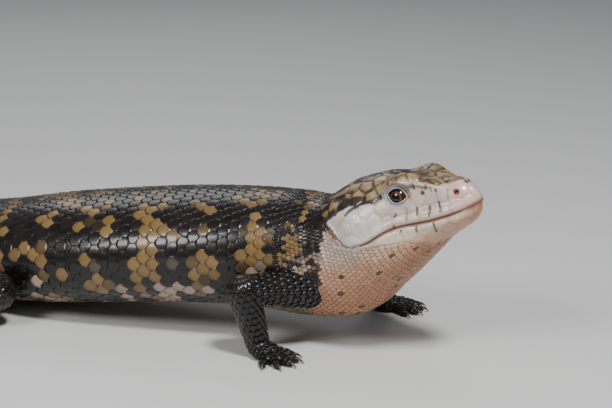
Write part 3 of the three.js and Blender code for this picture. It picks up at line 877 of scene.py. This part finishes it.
# %% The lids
LID_COLUMNS, LID_ROWS = 112, 22
RAY_START = 12
INNER_SINK, OUTER_SINK = 2.2, 3.0
LID_SKIN, LOWER_SKIN, RIM_SKIN = shade(142, 126, 124), shade(174, 172, 174), shade(164, 162, 168)
FOLD_DARK, FOLD_BROWN, CORNER_SKIN = shade(52, 34, 27), shade(92, 70, 60), shade(190, 150, 124)
# Where each fold lies from the slit at 0 to the outer edge at 1, its width, and its height in mm
LID_FOLDS = [
    (0.1, 0.07, 0.12), (0.28, 0.07, -0.22), (0.45, 0.08, 0.16), (0.64, 0.06, -0.2), (0.76, 0.06, 0.08),
    (0, 0.025, -0.22),
]


def lid_ring(s):
    """A closed ring of skin round one eye, with its colours."""
    centre, gaze, slit, above = EYES[s]
    turn = np.radians(np.arange(LID_COLUMNS) * 360 / LID_COLUMNS)
    c, u = np.cos(turn), np.sin(turn)
    bulge = np.where(u > 0, UPPER_LID, LOWER_LID)
    curve = np.maximum(bulge * (2 * c / SLIT_LENGTH) ** 2, 1e-4)
    rim = (-np.abs(u) + np.sqrt(u * u + 4 * curve * bulge)) / (2 * curve)
    outer = 1 / np.hypot(c / LID_OUTER[0], u / LID_OUTER[1])
    lower, corner = step(-u, -0.15, 0.25), step(c, 0.8, 0.98)
    rows, shades = [], []
    for way in [-0.02, 0.0, 0.03, *np.linspace(0.07, 1, LID_ROWS)]:
        r = rim + (outer - rim) * max(way, 0)
        ball = np.sqrt(np.maximum(LID_RADIUS**2 - r * r, 1.0))
        across = slit * (c * r)[:, None] + above * (u * r)[:, None]
        hits = [head_tree.ray_cast(Vector(centre + d + gaze * RAY_START), Vector(-gaze)) for d in across]
        skin_height = np.array([(np.array(hit[0]) - centre) @ gaze if hit[0] else 0 for hit in hits])
        around = np.array([head_colour[head_faces[hit[2]][0]] if hit[0] else CHEEK for hit in hits])
        high = mix(ball, skin_height + 0.1, step(way, 0.12, 0.85))
        for fold, width, rise in LID_FOLDS:
            high = high + rise * hump(way, fold, width)
        high = high - (0.9 if way < 0 else 0) - 1.3 * step(way, 0.94, 1.0)
        rows.append(centre + across + gaze * high[:, None])
        shades.append(
            washed(
                tint(LID_SKIN, LOWER_SKIN, lower),
                (RIM_SKIN, 0.7 * hump(way, 0.1, 0.06)),
                (FOLD_DARK, hump(way, 0.28, 0.085) * mix(0.5, 0.95, lower)),
                (FOLD_BROWN, hump(way, 0.64, 0.075) * mix(0.7, 0.6, lower)),
                (CORNER_SKIN, 0.6 * corner * (1 - step(way, 0.4, 0.7))),
                (around, step(way, 0.62, 0.97)),
                # The black at the very edge of the slit, where the lids meet the eye, is painted shade
                (BLACK, 0.9 if way < 0.02 else 0),
            )
        )
    ring = np.stack([rows[0] - gaze * INNER_SINK, *rows, rows[-1] - gaze * OUTER_SINK])
    shades = np.stack([shades[0], *shades, shades[-1]])
    faces = halves(round_faces(len(ring), LID_COLUMNS, closed=True))
    return make_piece(f"lids_{s}", ring.reshape(-1, 3), faces), shades.reshape(-1, 3)


skin = tube_piece("skin", body)
sources = [(places_of(skin), np.vstack([colour, colour[:1], colour[-1:]]))]
parts = []
for s in (LEFT, RIGHT):
    ring, shades = lid_ring(s)
    sources.append((places_of(ring), shades))
    parts.append(ring)
print("skin before the legs", len(skin.data.polygons), "triangles")

# %% [markdown]
# A leg is two straight limbs and a foot. A limb is a round tube through three points with rounded ends,
# and the palm is a flattened ball. Each is a small class, because the function that makes its skin now
# says later where its scales go.

# %% Limbs and palms
class Limb:
    """A round limb through three points. Places on it go by mm along it and an angle round it."""

    def __init__(self, points, radii):
        self.points, self.radii = np.array(points, float), radii
        self.length = float(np.linalg.norm(np.diff(self.points, axis=0), axis=1).sum())
        first = self.points[1] - self.points[0]
        self.reference = np.array([1.0, 0, 0]) if abs(unit(first)[2]) > 0.8 else np.array([0, 0, 1.0])

    def at(self, along, angle, lift=0.0):
        along, angle = np.broadcast_arrays(np.asarray(along, float), np.asarray(angle, float))
        t = along / self.length
        inside = np.clip(t, 0, 1)[..., None]
        a, b, c = self.points
        place = a * (1 - inside) * (1 - 2 * inside) + b * 4 * inside * (1 - inside)
        place = place + c * inside * (2 * inside - 1)
        facing = unit(a * (4 * inside - 3) + b * (4 - 8 * inside) + c * (4 * inside - 1))
        across = unit(self.reference - facing * (facing @ self.reference)[..., None])
        other = np.cross(facing, across)
        radius = np.interp(t, (0, 0.5, 1), self.radii)
        over = (t - np.clip(t, 0, 1)) * self.length
        lean = np.clip(over / radius, -1, 1)
        radius = radius + lift
        ring = radius * np.sqrt(1 - lean**2)
        turn = np.radians(angle)[..., None]
        point = place + facing * (lean * radius)[..., None]
        point = point + (across * np.cos(turn) + other * np.sin(turn)) * ring[..., None]
        point[..., 2] = np.maximum(point[..., 2], 0)
        return point

    def mesh(self, name, lift=0.0, columns=20):
        dome = np.sin(np.radians([85, 65, 45, 25]))
        start, end = -self.radii[0] * dome, self.length + self.radii[-1] * dome[::-1]
        along = np.concatenate([start, np.linspace(0, self.length, 8), end])
        return tube_piece(name, self.at(along[:, None], np.arange(columns) * 360 / columns, lift))


class Palm:
    """A flattened ball. Places on it go by mm from its heel and an angle from its top."""

    def __init__(self, middle, forward, sizes):
        self.middle, self.forward, self.sizes = middle, forward, sizes
        self.across = np.cross((0, 0, 1), forward)
        self.length, self.radii = 2 * sizes[0], (sizes[1],) * 3

    def at(self, along, angle, lift=0.0):
        along, angle = np.broadcast_arrays(np.asarray(along, float), np.asarray(angle, float))
        long, wide, high = self.sizes
        x = np.clip(along / long - 1, -0.98, 0.98)
        ring, turn = np.sqrt(1 - x * x), np.radians(angle)
        point = self.middle + self.forward * (x * (long + lift))[..., None]
        point = point + self.across * (np.sin(turn) * ring * (wide + lift))[..., None]
        point[..., 2] = np.maximum(point[..., 2] + np.cos(turn) * ring * (high + lift), 0)
        return point

    def mesh(self, lift):
        bpy.ops.mesh.primitive_uv_sphere_add(segments=28, ring_count=18)
        piece = bpy.context.object
        piece.data.transform(
            Matrix.Translation(Vector(self.middle) * MM)
            @ Matrix.Rotation(math.atan2(self.forward[1], self.forward[0]), 4, "Z")
            @ Matrix.Diagonal([*(MM * (size + lift) for size in self.sizes), 1])
        )
        return piece


straight = Limb([(0, 0, 0), (5, 0, 0), (10, 0, 0)], (2, 2, 2))
print("a straight limb through three points is", straight.length, "mm long before its round ends")

# %% [markdown]
# Each leg is placed by where it leaves the body and by two steps, from shoulder to elbow and from elbow to
# wrist. The steps are taken ahead, outward and up. Five toes fan out from the palm, and each ends in a
# short claw.

# %% Legs
# Station, angle and depth of the root, the steps in mm, and how far the foot turns out in degrees
LEGS = {
    "foreleg_right": dict(root=(77, -132, 5), elbow=(-15, 22, 2), wrist=(4, -4, -20.5), turn=12),
    "foreleg_left": dict(root=(77, 132, 5), elbow=(-10, 22, 0), wrist=(12, 3, -18.5), turn=20),
    "hindleg_right": dict(root=(222, -112, 6), elbow=(24, 20, 4), wrist=(-15, 7, -14.5), turn=32),
    "hindleg_left": dict(root=(222, 112, 6), elbow=(14, 23, 3), wrist=(-17, 9, -13.5), turn=38),
}
LEG_RADII = {"fore": (8.6, 6.6, 5.6, 4.6), "hind": (10, 8.2, 6.4, 5)}
PALM = {"fore": (6.4, 5.4, 3.6), "hind": (7.6, 5.8, 3.6)}
ANKLE_HEIGHT, PALM_HEIGHT = 4.4, 3.1
TOE_START = 0.55
CLAW_LENGTH, CLAW_RADII = 3.6, (0.8, 0.6, 0.14)
# Degrees from the middle of the foot, length and radius of each toe
TOES = {
    "fore": [(-42, 7.0, 1.9), (-19, 9.0, 2.0), (2, 9.6, 2.1), (24, 9.0, 2.0), (50, 7.2, 1.9)],
    "hind": [(-46, 6.8, 1.9), (-22, 9.2, 2.1), (0, 11.0, 2.2), (22, 11.4, 2.1), (56, 7.6, 1.9)],
}


def leg_limbs(name):
    """The limbs of a leg with its toes, its claws and its palm."""
    leg, kind = LEGS[name], name[:4]
    at, angle, inset = leg["root"]
    s = np.sign(angle)
    heading = math.radians(float(heading_at(at)))
    forward = np.array([math.cos(heading), math.sin(heading), 0])
    outward = s * np.array([-math.sin(heading), math.cos(heading), 0])

    def walk(start, ahead, out, rise):
        return start + forward * ahead + outward * out + np.array([0, 0, rise])

    def towards(degrees):
        way = heading + s * math.radians(leg["turn"] + degrees)
        return np.array([math.cos(way), math.sin(way), 0])

    _, left, up = axes_at(at)
    turn = math.radians(angle)
    shoulder = body_points(at, angle) - (left * math.sin(turn) + up * math.cos(turn)) * inset
    elbow = walk(shoulder, *leg["elbow"])
    ankle = walk(elbow, *leg["wrist"])
    ankle[2] = ANKLE_HEIGHT
    radii = LEG_RADII[kind]
    limbs = {
        "upper": Limb([shoulder, (shoulder + elbow) / 2, elbow], radii[:3]),
        "lower": Limb([elbow, (elbow + ankle) / 2, ankle], radii[1:]),
    }
    middle = ankle + towards(0) * TOE_START * PALM[kind][0]
    middle[2] = PALM_HEIGHT

    def toe_points(degrees, *steps):
        return [np.append((middle + towards(degrees) * far)[:2], z) for far, z in steps]

    claws = []
    for k, (degrees, length, radius) in enumerate(TOES[kind]):
        base = TOE_START * PALM[kind][0]
        tip = base + length
        end = 0.74 * radius
        toe = toe_points(degrees, (base, 2.5), (base + 0.45 * length, 2.9), (tip, end - 0.15))
        claw = toe_points(
            degrees, (tip - 0.6, 1.5), (tip + 0.45 * CLAW_LENGTH, 1.75), (tip + CLAW_LENGTH, 0.35)
        )
        limbs[f"toe{k}"] = Limb(toe, (radius, 0.92 * radius, end))
        claws.append(Limb(claw, CLAW_RADII))
    return limbs, claws, Palm(middle, towards(0), PALM[kind])


legs = {name: leg_limbs(name) for name in LEGS}
print({name: [round(limb.length, 1) for limb in limbs.values()][:2] for name, (limbs, _, _) in legs.items()})

# %% [markdown]
# The parts of each leg are joined and remeshed in small voxels, which melts them into one soft shape. Legs
# and lids are then united with the body by booleans, so the whole animal has one closed skin without
# seams. A boolean makes new points, so each point of the skin takes the colour of the nearest point it
# came from.

# %% One closed skin
LEG_COAT = 0.3
LEG_VOXEL = 0.85
SOLE_HEIGHT = 0.3

for name, (limbs, claws, palm) in legs.items():
    meshes = [limb.mesh(f"{name}_{part}", -LEG_COAT) for part, limb in limbs.items()]
    leg = joined([*meshes, palm.mesh(-LEG_COAT)])
    for vertex in leg.data.vertices:
        vertex.co.z = max(vertex.co.z, SOLE_HEIGHT * MM)
    apply_modifier(leg, "REMESH", mode="VOXEL", voxel_size=LEG_VOXEL * MM)
    apply_modifier(leg, "SMOOTH", factor=0.5, iterations=3)
    where = places_of(leg)
    sources.append((where, np.tile(LEG_BLACK, (len(where), 1))))
    parts.append(leg)

for part in parts:
    apply_modifier(skin, "BOOLEAN", operation="UNION", solver="MANIFOLD", object=part)
    bpy.data.objects.remove(part)

known, tones = np.vstack([p for p, _ in sources]), np.vstack([c for _, c in sources])
nearest = KDTree(len(known))
for k, p in enumerate(known):
    nearest.insert(p, k)
nearest.balance()
store_colour(skin, tones[[nearest.find(p)[1] for p in places_of(skin)]])
smooth(skin)
checker = bmesh.new()
checker.from_mesh(skin.data)
open_edges = sum(not edge.is_manifold for edge in checker.edges)
checker.free()
skin_tree = BVHTree.FromObject(skin, bpy.context.evaluated_depsgraph_get())
print("skin:", sum(len(p.vertices) - 2 for p in skin.data.polygons), "triangles,", open_edges, "open edges")

# %% [markdown]
# A scale is a thin closed plate that is bent over the surface it lies on. Its root is sunk in the skin and
# its rounded rear edge lies over the next row. Scales painted into a texture would look flat from the
# side, so they are real plates. Each has a small grid of its own, and every point of the grid is placed by
# its station, its angle and its lift, all at once.

# %% Plates for scales
# Points across and along a plate, the lift of its root and its edge in mm, and how pointed its tip is
FINE = ((7, 6), (-0.5, 0.0), 0.34)
SMALL = ((4, 5), (-0.5, 0.0), 0.34)
COARSE = ((3, 4), (-0.45, 0.02), 0.3)
THICK = 0.2


def plate_grid(across, along):
    """How far along and across each point of one side lies, and the faces of both sides and the rim."""
    s = np.sin(np.linspace(-1, 1, across) * math.pi / 2)
    t = np.linspace(0, 1, along) ** 0.85
    t, s = np.meshgrid(t, s, indexing="ij")
    top = np.arange(across * along).reshape(along, across)
    low = top + across * along
    faces = []
    for grid, way in ((top, 1), (low, -1)):
        for i in range(along - 1):
            for j in range(across - 1):
                faces.append([grid[i, j], grid[i, j + 1], grid[i + 1, j + 1], grid[i + 1, j]][::way])
    ring = np.concatenate([top[0, :], top[1:, -1], top[-1, -2::-1], top[-2:0:-1, 0]])
    for a, b in zip(ring, np.roll(ring, -1)):
        faces.append([b, a, a + across * along, b + across * along])
    return t.ravel(), s.ravel(), np.array(faces)


def unwrap_plates(piece, places, corner):
    """Gives each plate its own small place in the bake map."""
    first, last = places.min(0), places.max(0)
    placed = 0.02 + 0.955 * (places - first) / np.maximum(last - first, 1e-6)
    uv = (placed[:, None] + corner[None]).reshape(-1, 2)
    layer = piece.data.uv_layers.new(name="OFBake")
    loops = np.empty(len(piece.data.loops), np.int32)
    piece.data.loops.foreach_get("vertex_index", loops)
    layer.data.foreach_set("uv", np.clip(uv[loops], 0.003, 0.997).astype(np.float32).ravel())


def lay_plates(name, surface, at, angle, width, length, tones, places, cut=FINE, edge_dark=0.6):
    """One object with a plate for each root. Width and length are in mm, and places are those in the map."""
    size, (root_lift, edge_lift), tip = cut
    t, s, faces = plate_grid(*size)
    near = surface(at, angle + 0.5, 0.0) - surface(at, angle - 0.5, 0.0)
    mm_per_degree = np.maximum(np.linalg.norm(near, axis=-1), 0.02)
    reach = t - tip * s**2 * t**2
    half = 0.5 * (1 - 0.16 * t**3) * s
    plate_at = at[:, None] + length * reach[None]
    plate_angle = angle[:, None] + (width / mm_per_degree)[:, None] * half[None]
    lift = mix(root_lift, edge_lift, t**0.8) + 0.1 * (1 - s**2) - 0.1 * s**2
    wobble = (scatter(np.arange(len(at)), seed=3) - 0.5)[:, None] * 0.12 * t[None]
    top = surface(plate_at, plate_angle, lift[None] + wobble)
    low = surface(plate_at, plate_angle, lift[None] + wobble - THICK * (1.15 - 0.5 * t[None]))
    points = np.concatenate([top, low], 1)
    rim = np.clip(s**6 + t**9, 0, 1)
    rim = np.concatenate([rim, rim])
    colour = tones[:, None] * (1.06 - 0.2 * np.concatenate([t, t])[None, :, None])
    colour = colour + (BROWN_BLACK - colour) * (np.reshape(edge_dark, (-1, 1)) * rim)[..., None]
    every = faces[None] + (np.arange(len(at)) * points.shape[1])[:, None, None]
    piece = make_piece(name, points.reshape(-1, 3), every.reshape(-1, 4))
    store_colour(piece, colour.reshape(-1, 3))
    unwrap_plates(piece, places, np.concatenate([np.stack([s, t], -1)] * 2) * (0.0014, 0.0028))
    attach(piece, "root")
    print(name, len(at), "plates,", 2 * len(faces) * len(at), "triangles")


def staggered(first, last, spacing, count):
    """Rows of roots from one station to another, each turned by half a scale."""
    rows = np.arange(first, last, spacing)
    k, j = np.meshgrid(np.arange(len(rows)), np.arange(count), indexing="ij")
    angle = (j + 0.5 * (k % 2)) * 360 / count
    return rows[k].ravel(), ((angle + 180) % 360 - 180).ravel()


print("faces of one plate:", [len(plate_grid(*cut[0])[2]) for cut in (FINE, SMALL, COARSE)])

# %% [markdown]
# The trunk and tail are black with broken cross-bands of mustard. Low on the flank some scales are pink
# and cream, the belly is paler, and the neck is pale with a few black specks. Each scale has one tone of
# its own, as on the animal, and is a little darker at its rear edge.

# %% Scales of neck, trunk and tail
NECK_SIDE = 62
ALL_ROUND = (-1, 181)
FIRST_BAND, BAND_SPACING = 96, 22
OVERLAP = 1.12
# First and last station, spacing of the rows in mm, and number of scales round the body
BODY_ROWS = {
    "trunk_scales_front": (84, 168, 4.1, 36),
    "trunk_scales_rear": (168, 252, 4.1, 36),
    "tail_scales_1": (252, 290, 3.9, 26),
    "tail_scales_2": (290, 340, 3.9, 20),
    "tail_scales_3": (340, 400, 3.9, 16),
    "tail_scales_4": (400, 445, 3.9, 12),
    "tail_scales_5": (445, 476, 3.9, 8),
}


def band(at, angle, points):
    """From 0 in the black to 1 in a mustard cross-band. The bands are broken up and lean a little."""
    bent = at + 12 * (noise(points, 17, seed=11) - 0.5) + 0.05 * side_of(angle)
    wave = 0.5 + 0.5 * np.cos(2 * math.pi * (bent - FIRST_BAND) / BAND_SPACING)
    broken = 0.6 * wave + 1.2 * (noise(points, 6, seed=12) - 0.5) + 0.8 * (scatter(at, angle, seed=13) - 0.5)
    return step(broken - 0.15 * step(side_of(angle), 85, 110), 0.4, 0.6)


def scale_tones(at, angle, points):
    side = side_of(angle)
    patchy = noise(points, 9, seed=21)
    one = scatter(at, angle, seed=22)
    flank = step(side, 25, 60) * (1 - step(side, 110, 135))
    low = step(side, 84, 100) * (1 - step(side, 140, 160))
    blotch = step(noise(points, 8, seed=23) + 0.35 * (one - 0.5), 0.6, 0.68)
    speck = step(scatter(at, angle, seed=24), 0.975, 0.978) * step(side, 60, 75)
    gold = washed(MUSTARD * 0.5, (MUSTARD, flank * (0.4 + 0.7 * one)), (TAN, 0.6 * patchy))
    # Under the neck the scales get the deeper orange: partly its own colour, partly painted shade and bounce
    # light
    pale = washed(NECK_PALE, (THROAT, step(side, 92, 118)), (THROAT_ORANGE_AND_SHADE, 0.8 * step(side, 112, 155)))
    pale = tint(pale * (0.86 + 0.28 * one)[:, None], BLACK, 0.85 * speck)
    return washed(
        BLACK * (0.6 + 0.8 * one)[:, None],
        (gold, band(at, angle, points)),
        (PINK_CREAM, low * blotch * 0.85),
        (tint(BELLY, BELLY_PALE, patchy), 0.85 * step(side, 128, 152)),
        (pale, neck_end(at, angle, points)),
    )


def bare_body(at, angle, lift):
    return body_points(at, angle, lift, mouth=0)


def body_plates(name, first, last, spacing, count, sides=ALL_ROUND, cut=FINE, length=1.5):
    at, angle = staggered(first, last, spacing, count)
    at = at + (scatter(at, angle, seed=31) - 0.5) * 0.2 * spacing
    side = side_of(angle)
    good = (at > scales_start(side) - 0.8) & (side > sides[0]) & (side < sides[1])
    for s in (LEFT, RIGHT):
        good &= in_ear(body_points(at + spacing, angle), s) > 1.5
    at, angle = at[good], angle[good]
    points = body_points(at, angle)
    width = 2 * math.pi * np.linalg.norm(points - mid_point(at), axis=-1) / count * OVERLAP
    lay_plates(
        name, bare_body, at, angle, width, length * spacing, scale_tones(at, angle, points),
        np.stack([angle / 360, at / BODY_LENGTH], -1), cut,
        mix(0.55, 0.22, neck_end(at, angle, points)),
    )


body_plates("neck_scales_top", 50, 84, 3.3, 44, (-1, NECK_SIDE))
body_plates("neck_scales_side", 15, 84, 2.05, 84, (NECK_SIDE - 3, 181), SMALL, 1.6)
for name, rows in BODY_ROWS.items():
    body_plates(name, *rows)

# %% [markdown]
# The legs are black all over, with smaller scales that run down to the claws. The scales of each limb use
# the limb's own places, and those that would be buried inside the body or another limb are left out.

# %% Scales of the legs
BURIED = 1.2
LEG_OVERLAP, LEG_LENGTH = 1.15, 1.55


def leg_plates(name, limbs, palm, index):
    """The scales of one leg, on all its limbs and on its palm."""
    surfaces = {**limbs, "palm": palm}
    for k, (part, limb) in enumerate(surfaces.items()):
        count, spacing = 14, 2.5
        first, last = -0.85 * limb.radii[0], limb.length + 0.85 * limb.radii[-1]
        if part.startswith("toe"):
            count, spacing, first, last = 7, 1.9, -1.0, limb.length
        elif part == "palm":
            first, last, spacing = 0.6, limb.length - 1.5, 2.0
        at, angle = staggered(first, last, spacing, count)
        middles = limb.at(at + 0.6 * spacing, angle)
        shown = np.array([skin_tree.find_nearest(Vector(p) * MM)[3] < BURIED * MM for p in middles])
        at, angle = at[shown], angle[shown]
        width = 2 * math.pi * np.interp(at / limb.length, (0, 0.5, 1), limb.radii) / count * LEG_OVERLAP
        tones = LEG_BLACK * (0.6 + 0.8 * scatter(at, angle, seed=41))[:, None]
        places = [(index + (angle + 180) / 360 * 0.9) / 4, (k + at / limb.length) / len(surfaces)]
        lay_plates(
            f"{name}_{part}_scales", limb.at, at, angle, width, LEG_LENGTH * spacing, tones,
            np.stack(places, -1), COARSE, 0.2,
        )


for index, (name, (limbs, claws, palm)) in enumerate(legs.items()):
    leg_plates(name, limbs, palm, index)

# %% [markdown]
# The eyes are balls with a slight bulge for the cornea. Two attributes tell the material where it is: one
# is the distance from the line of sight and the other is measured in an upright oval, and both are 1 at
# their edge, of the iris and of the pupil. The claws are short limbs too, joined into one piece.

# %% Eyes and claws
IRIS_LEAN, IRIS_RISE = 13, 1
PUPIL_WIDE, PUPIL_HIGH, IRIS_EDGE = 21, 26, 33
CORNEA_BULGE, CORNEA_WIDTH = 0.05, 30
for s, name in ((LEFT, "left"), (RIGHT, "right")):
    ahead, left, up = axes_at(EYE_STATION)
    axis = unit(left * s + ahead * tangent(IRIS_LEAN) + up * tangent(IRIS_RISE))
    bpy.ops.mesh.primitive_uv_sphere_add(segments=96, ring_count=64, radius=EYE_RADIUS * MM)
    eye = bpy.context.object
    eye.name = f"eyeball_{name}"
    eye.data.transform(Vector((0, 0, 1)).rotation_difference(Vector(axis)).to_matrix().to_4x4())
    ways = unit(places_of(eye))
    off_axis = np.degrees(np.arccos(np.clip(ways @ axis, -1, 1)))
    upward = unit(up - axis * (up @ axis))
    level = np.cross(axis, upward)
    tall, broad = (np.degrees(np.arctan2(ways @ way, ways @ axis)) for way in (upward, level))
    points = EYE_RADIUS * ways * (1 + CORNEA_BULGE * hump(off_axis, 0, CORNEA_WIDTH))[:, None] + EYES[s][0]
    eye.data.vertices.foreach_set("co", (points * MM).astype(np.float32).ravel())
    smooth(eye)
    oval = np.hypot(broad / PUPIL_WIDE, tall / PUPIL_HIGH)
    for key, value in (("iris", off_axis / IRIS_EDGE), ("pupil", oval)):
        layer = eye.data.attributes.new(key, "FLOAT", "POINT")
        layer.data.foreach_set("value", value.astype(np.float32))
    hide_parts(f"eye_{name}")
    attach(eye, "root")

pieces = []
for name, (limbs, claws, palm) in legs.items():
    pieces += [claw.mesh(f"{name}_claw{k}", columns=10) for k, claw in enumerate(claws)]
claw_piece = joined(pieces)
claw_piece.name = "claws"
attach(claw_piece, "root")

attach(skin, "root")
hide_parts(*[n for n in nodes if not n.startswith("eye_")])
print("claws", len(pieces))

# %% [markdown]
# Materials are made of nodes. A small class lets the output of a node be added, multiplied and mixed like
# a number, so each finish reads as a few lines.

# %% Node helpers
class Value:
    """A node's output that works like a number."""

    def __init__(self, finish, socket):
        self.finish, self.socket = finish, socket

    def math(self, operation, first, second):
        return self.finish.node("Math", {"operation": operation}, {0: first, 1: second})

    def __add__(self, other):
        return self.math("ADD", self, other)

    def __sub__(self, other):
        return self.math("SUBTRACT", self, other)

    def __rsub__(self, other):
        return self.math("SUBTRACT", other, self)

    def __mul__(self, other):
        return self.math("MULTIPLY", self, other)

    __radd__, __rmul__ = __add__, __mul__


class Finish:
    """A material and the nodes that lead to its shader."""

    def __init__(self, name, **constants):
        self.material = bpy.data.materials.new(name)
        self.material.use_nodes = True
        self.tree = self.material.node_tree
        self.shader = self.tree.nodes["Principled BSDF"]
        self.set(**constants)

    def fill(self, socket, value):
        """Gives a socket a link, a colour or a number."""
        if isinstance(value, Value):
            self.tree.links.new(value.socket, socket)
        else:
            socket.default_value = (*value, 1) if socket.type == "RGBA" else value

    def set(self, **sockets):
        for key, value in sockets.items():
            self.fill(self.shader.inputs[key.replace("_", " ")], value)

    def node(self, kind, settings, sockets, output=0):
        """Adds a node, sets it, fills its sockets by name or number, and gives back one of its outputs."""
        made = self.tree.nodes.new("ShaderNode" + kind)
        for key, value in settings.items():
            if key == "stops":
                elements = made.color_ramp.elements
                while len(elements) < len(value):
                    elements.new(0.5)
                for element, (place, colour) in zip(elements, value):
                    element.position = place
                    element.color = (*colour, 1)
            else:
                setattr(made, key, value)
        for key, value in sockets.items():
            self.fill(made.inputs[key], value)
        return Value(self, made.outputs[output])

    def attribute(self, name, output="Fac"):
        return self.node("Attribute", {"attribute_name": name}, {}, output)

    def noise(self, per_metre, detail):
        place = self.node("TexCoord", {}, {}, "Object")
        return self.node("TexNoise", {}, {"Vector": place, "Scale": per_metre, "Detail": detail}, "Fac")

    def ramp(self, value, stops):
        return self.node("ValToRGB", {"stops": stops}, {"Fac": value}, "Color")

    def between(self, value, low, high, to_low=0.0, to_high=1.0):
        sockets = {"Value": value, "From Min": low, "From Max": high, "To Min": to_low, "To Max": to_high}
        return self.node("MapRange", {}, sockets)

    def mix(self, amount, first, second, blend="MIX"):
        """Mixes two colours. Sockets 6 and 7 are the colours, and output 2 is the mixed one."""
        sockets = {0: amount, 6: first, 7: second}
        return self.node("Mix", {"data_type": "RGBA", "blend_type": blend}, sockets, 2)

    def bump(self, height, distance, strength):
        sockets = {"Height": height, "Distance": distance, "Strength": strength}
        return self.node("Bump", {}, sockets, "Normal")

    def toned(self, low, high, grain):
        """The stored colour, made a little darker and lighter by a fine grain."""
        amount = self.between(grain, 0.0, 1.0, low, high)
        grey = self.node("CombineColor", {}, {"Red": amount, "Green": amount, "Blue": amount})
        return self.mix(1.0, self.attribute("Colour", "Color"), grey, "MULTIPLY")


print("node helpers:", [name for name in vars(Finish) if not name.startswith("_")])

# %% [markdown]
# Skin and scales take the colour that is stored on their points. A fine grain makes it a little uneven and
# gives a faint bump. The head has a moist sheen, and the scales are hard and glossy like varnished horn,
# with worn patches where the gloss is less.

# %% Skin and scales
skin_finish = Finish("skin", Coat_Roughness=0.14, Specular_IOR_Level=0.4)
grain = skin_finish.noise(900, 4)
speckle = skin_finish.noise(2600, 2)
skin_finish.set(Base_Color=skin_finish.toned(0.82, 1.14, grain))
skin_finish.set(Roughness=grain * 0.25 + 0.3, Coat_Weight=0.75 - speckle * 0.5)
skin_finish.set(Normal=skin_finish.bump(grain + speckle * 0.5, 0.00012, 0.6))

scale_finish = Finish("scales", Coat_Roughness=0.1, Specular_IOR_Level=0.35)
grain = scale_finish.noise(1300, 3)
wear = scale_finish.noise(260, 3)
scale_finish.set(Base_Color=scale_finish.toned(0.78, 1.2, grain))
scale_finish.set(Roughness=wear * 0.25 + 0.16, Coat_Weight=wear * 0.5)
scale_finish.set(Normal=scale_finish.bump(grain, 0.0001, 0.5))
print("skin has", len(skin_finish.tree.nodes), "nodes, scales", len(scale_finish.tree.nodes))

# %% [markdown]
# The iris is brown, darker towards its edge, with fine streaks, and the white beyond it is grey. The eye
# is wet, so it has a full clear coat. The claws are dark horn with a low gloss.

# %% Eyes, claws and floor
PUPIL_BLACK = shade(6, 5, 5)
eye_finish = Finish("eye", Coat_Roughness=0.02, Coat_Weight=1.0, Roughness=0.3, Specular_IOR_Level=0.1)
streak = eye_finish.noise(1500, 3)
# The iris ends at 0.5
iris = eye_finish.ramp(
    eye_finish.attribute("iris") * 0.5 + streak * 0.04 - 0.02,
    [
        (0.3, shade(118, 68, 40)),
        (0.4, shade(96, 54, 32)),
        (0.47, shade(58, 34, 23)),
        (0.51, shade(24, 15, 12)),
        (0.6, shade(40, 28, 23)),
        (0.85, shade(88, 80, 80)),
    ],
)
past_pupil = eye_finish.between(eye_finish.attribute("pupil"), 0.96, 1.04)
eye_finish.set(Base_Color=eye_finish.mix(past_pupil, PUPIL_BLACK, iris))

claw_finish = Finish("claw", Coat_Weight=0.3, Coat_Roughness=0.2)
grain = claw_finish.noise(1800, 2)
claw_finish.set(Base_Color=claw_finish.ramp(grain, [(0.2, shade(28, 22, 20)), (0.8, shade(72, 58, 46))]))
claw_finish.set(Roughness=grain * 0.2 + 0.25)

floor_finish = Finish("floor", Base_Color=(0.62, 0.62, 0.61))
floor_finish.set(Roughness=floor_finish.noise(60, 2) * 0.1 + 0.6)
floor.data.materials.append(floor_finish.material)

FINISHES = {"skin": skin_finish, "scales": scale_finish, "eyeball": eye_finish, "claws": claw_finish}
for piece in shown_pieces():
    for word, finish in FINISHES.items():
        if word in piece.name:
            piece.data.materials.clear()
            piece.data.materials.append(finish.material)
print("materials", len(bpy.data.materials))

# %% [markdown]
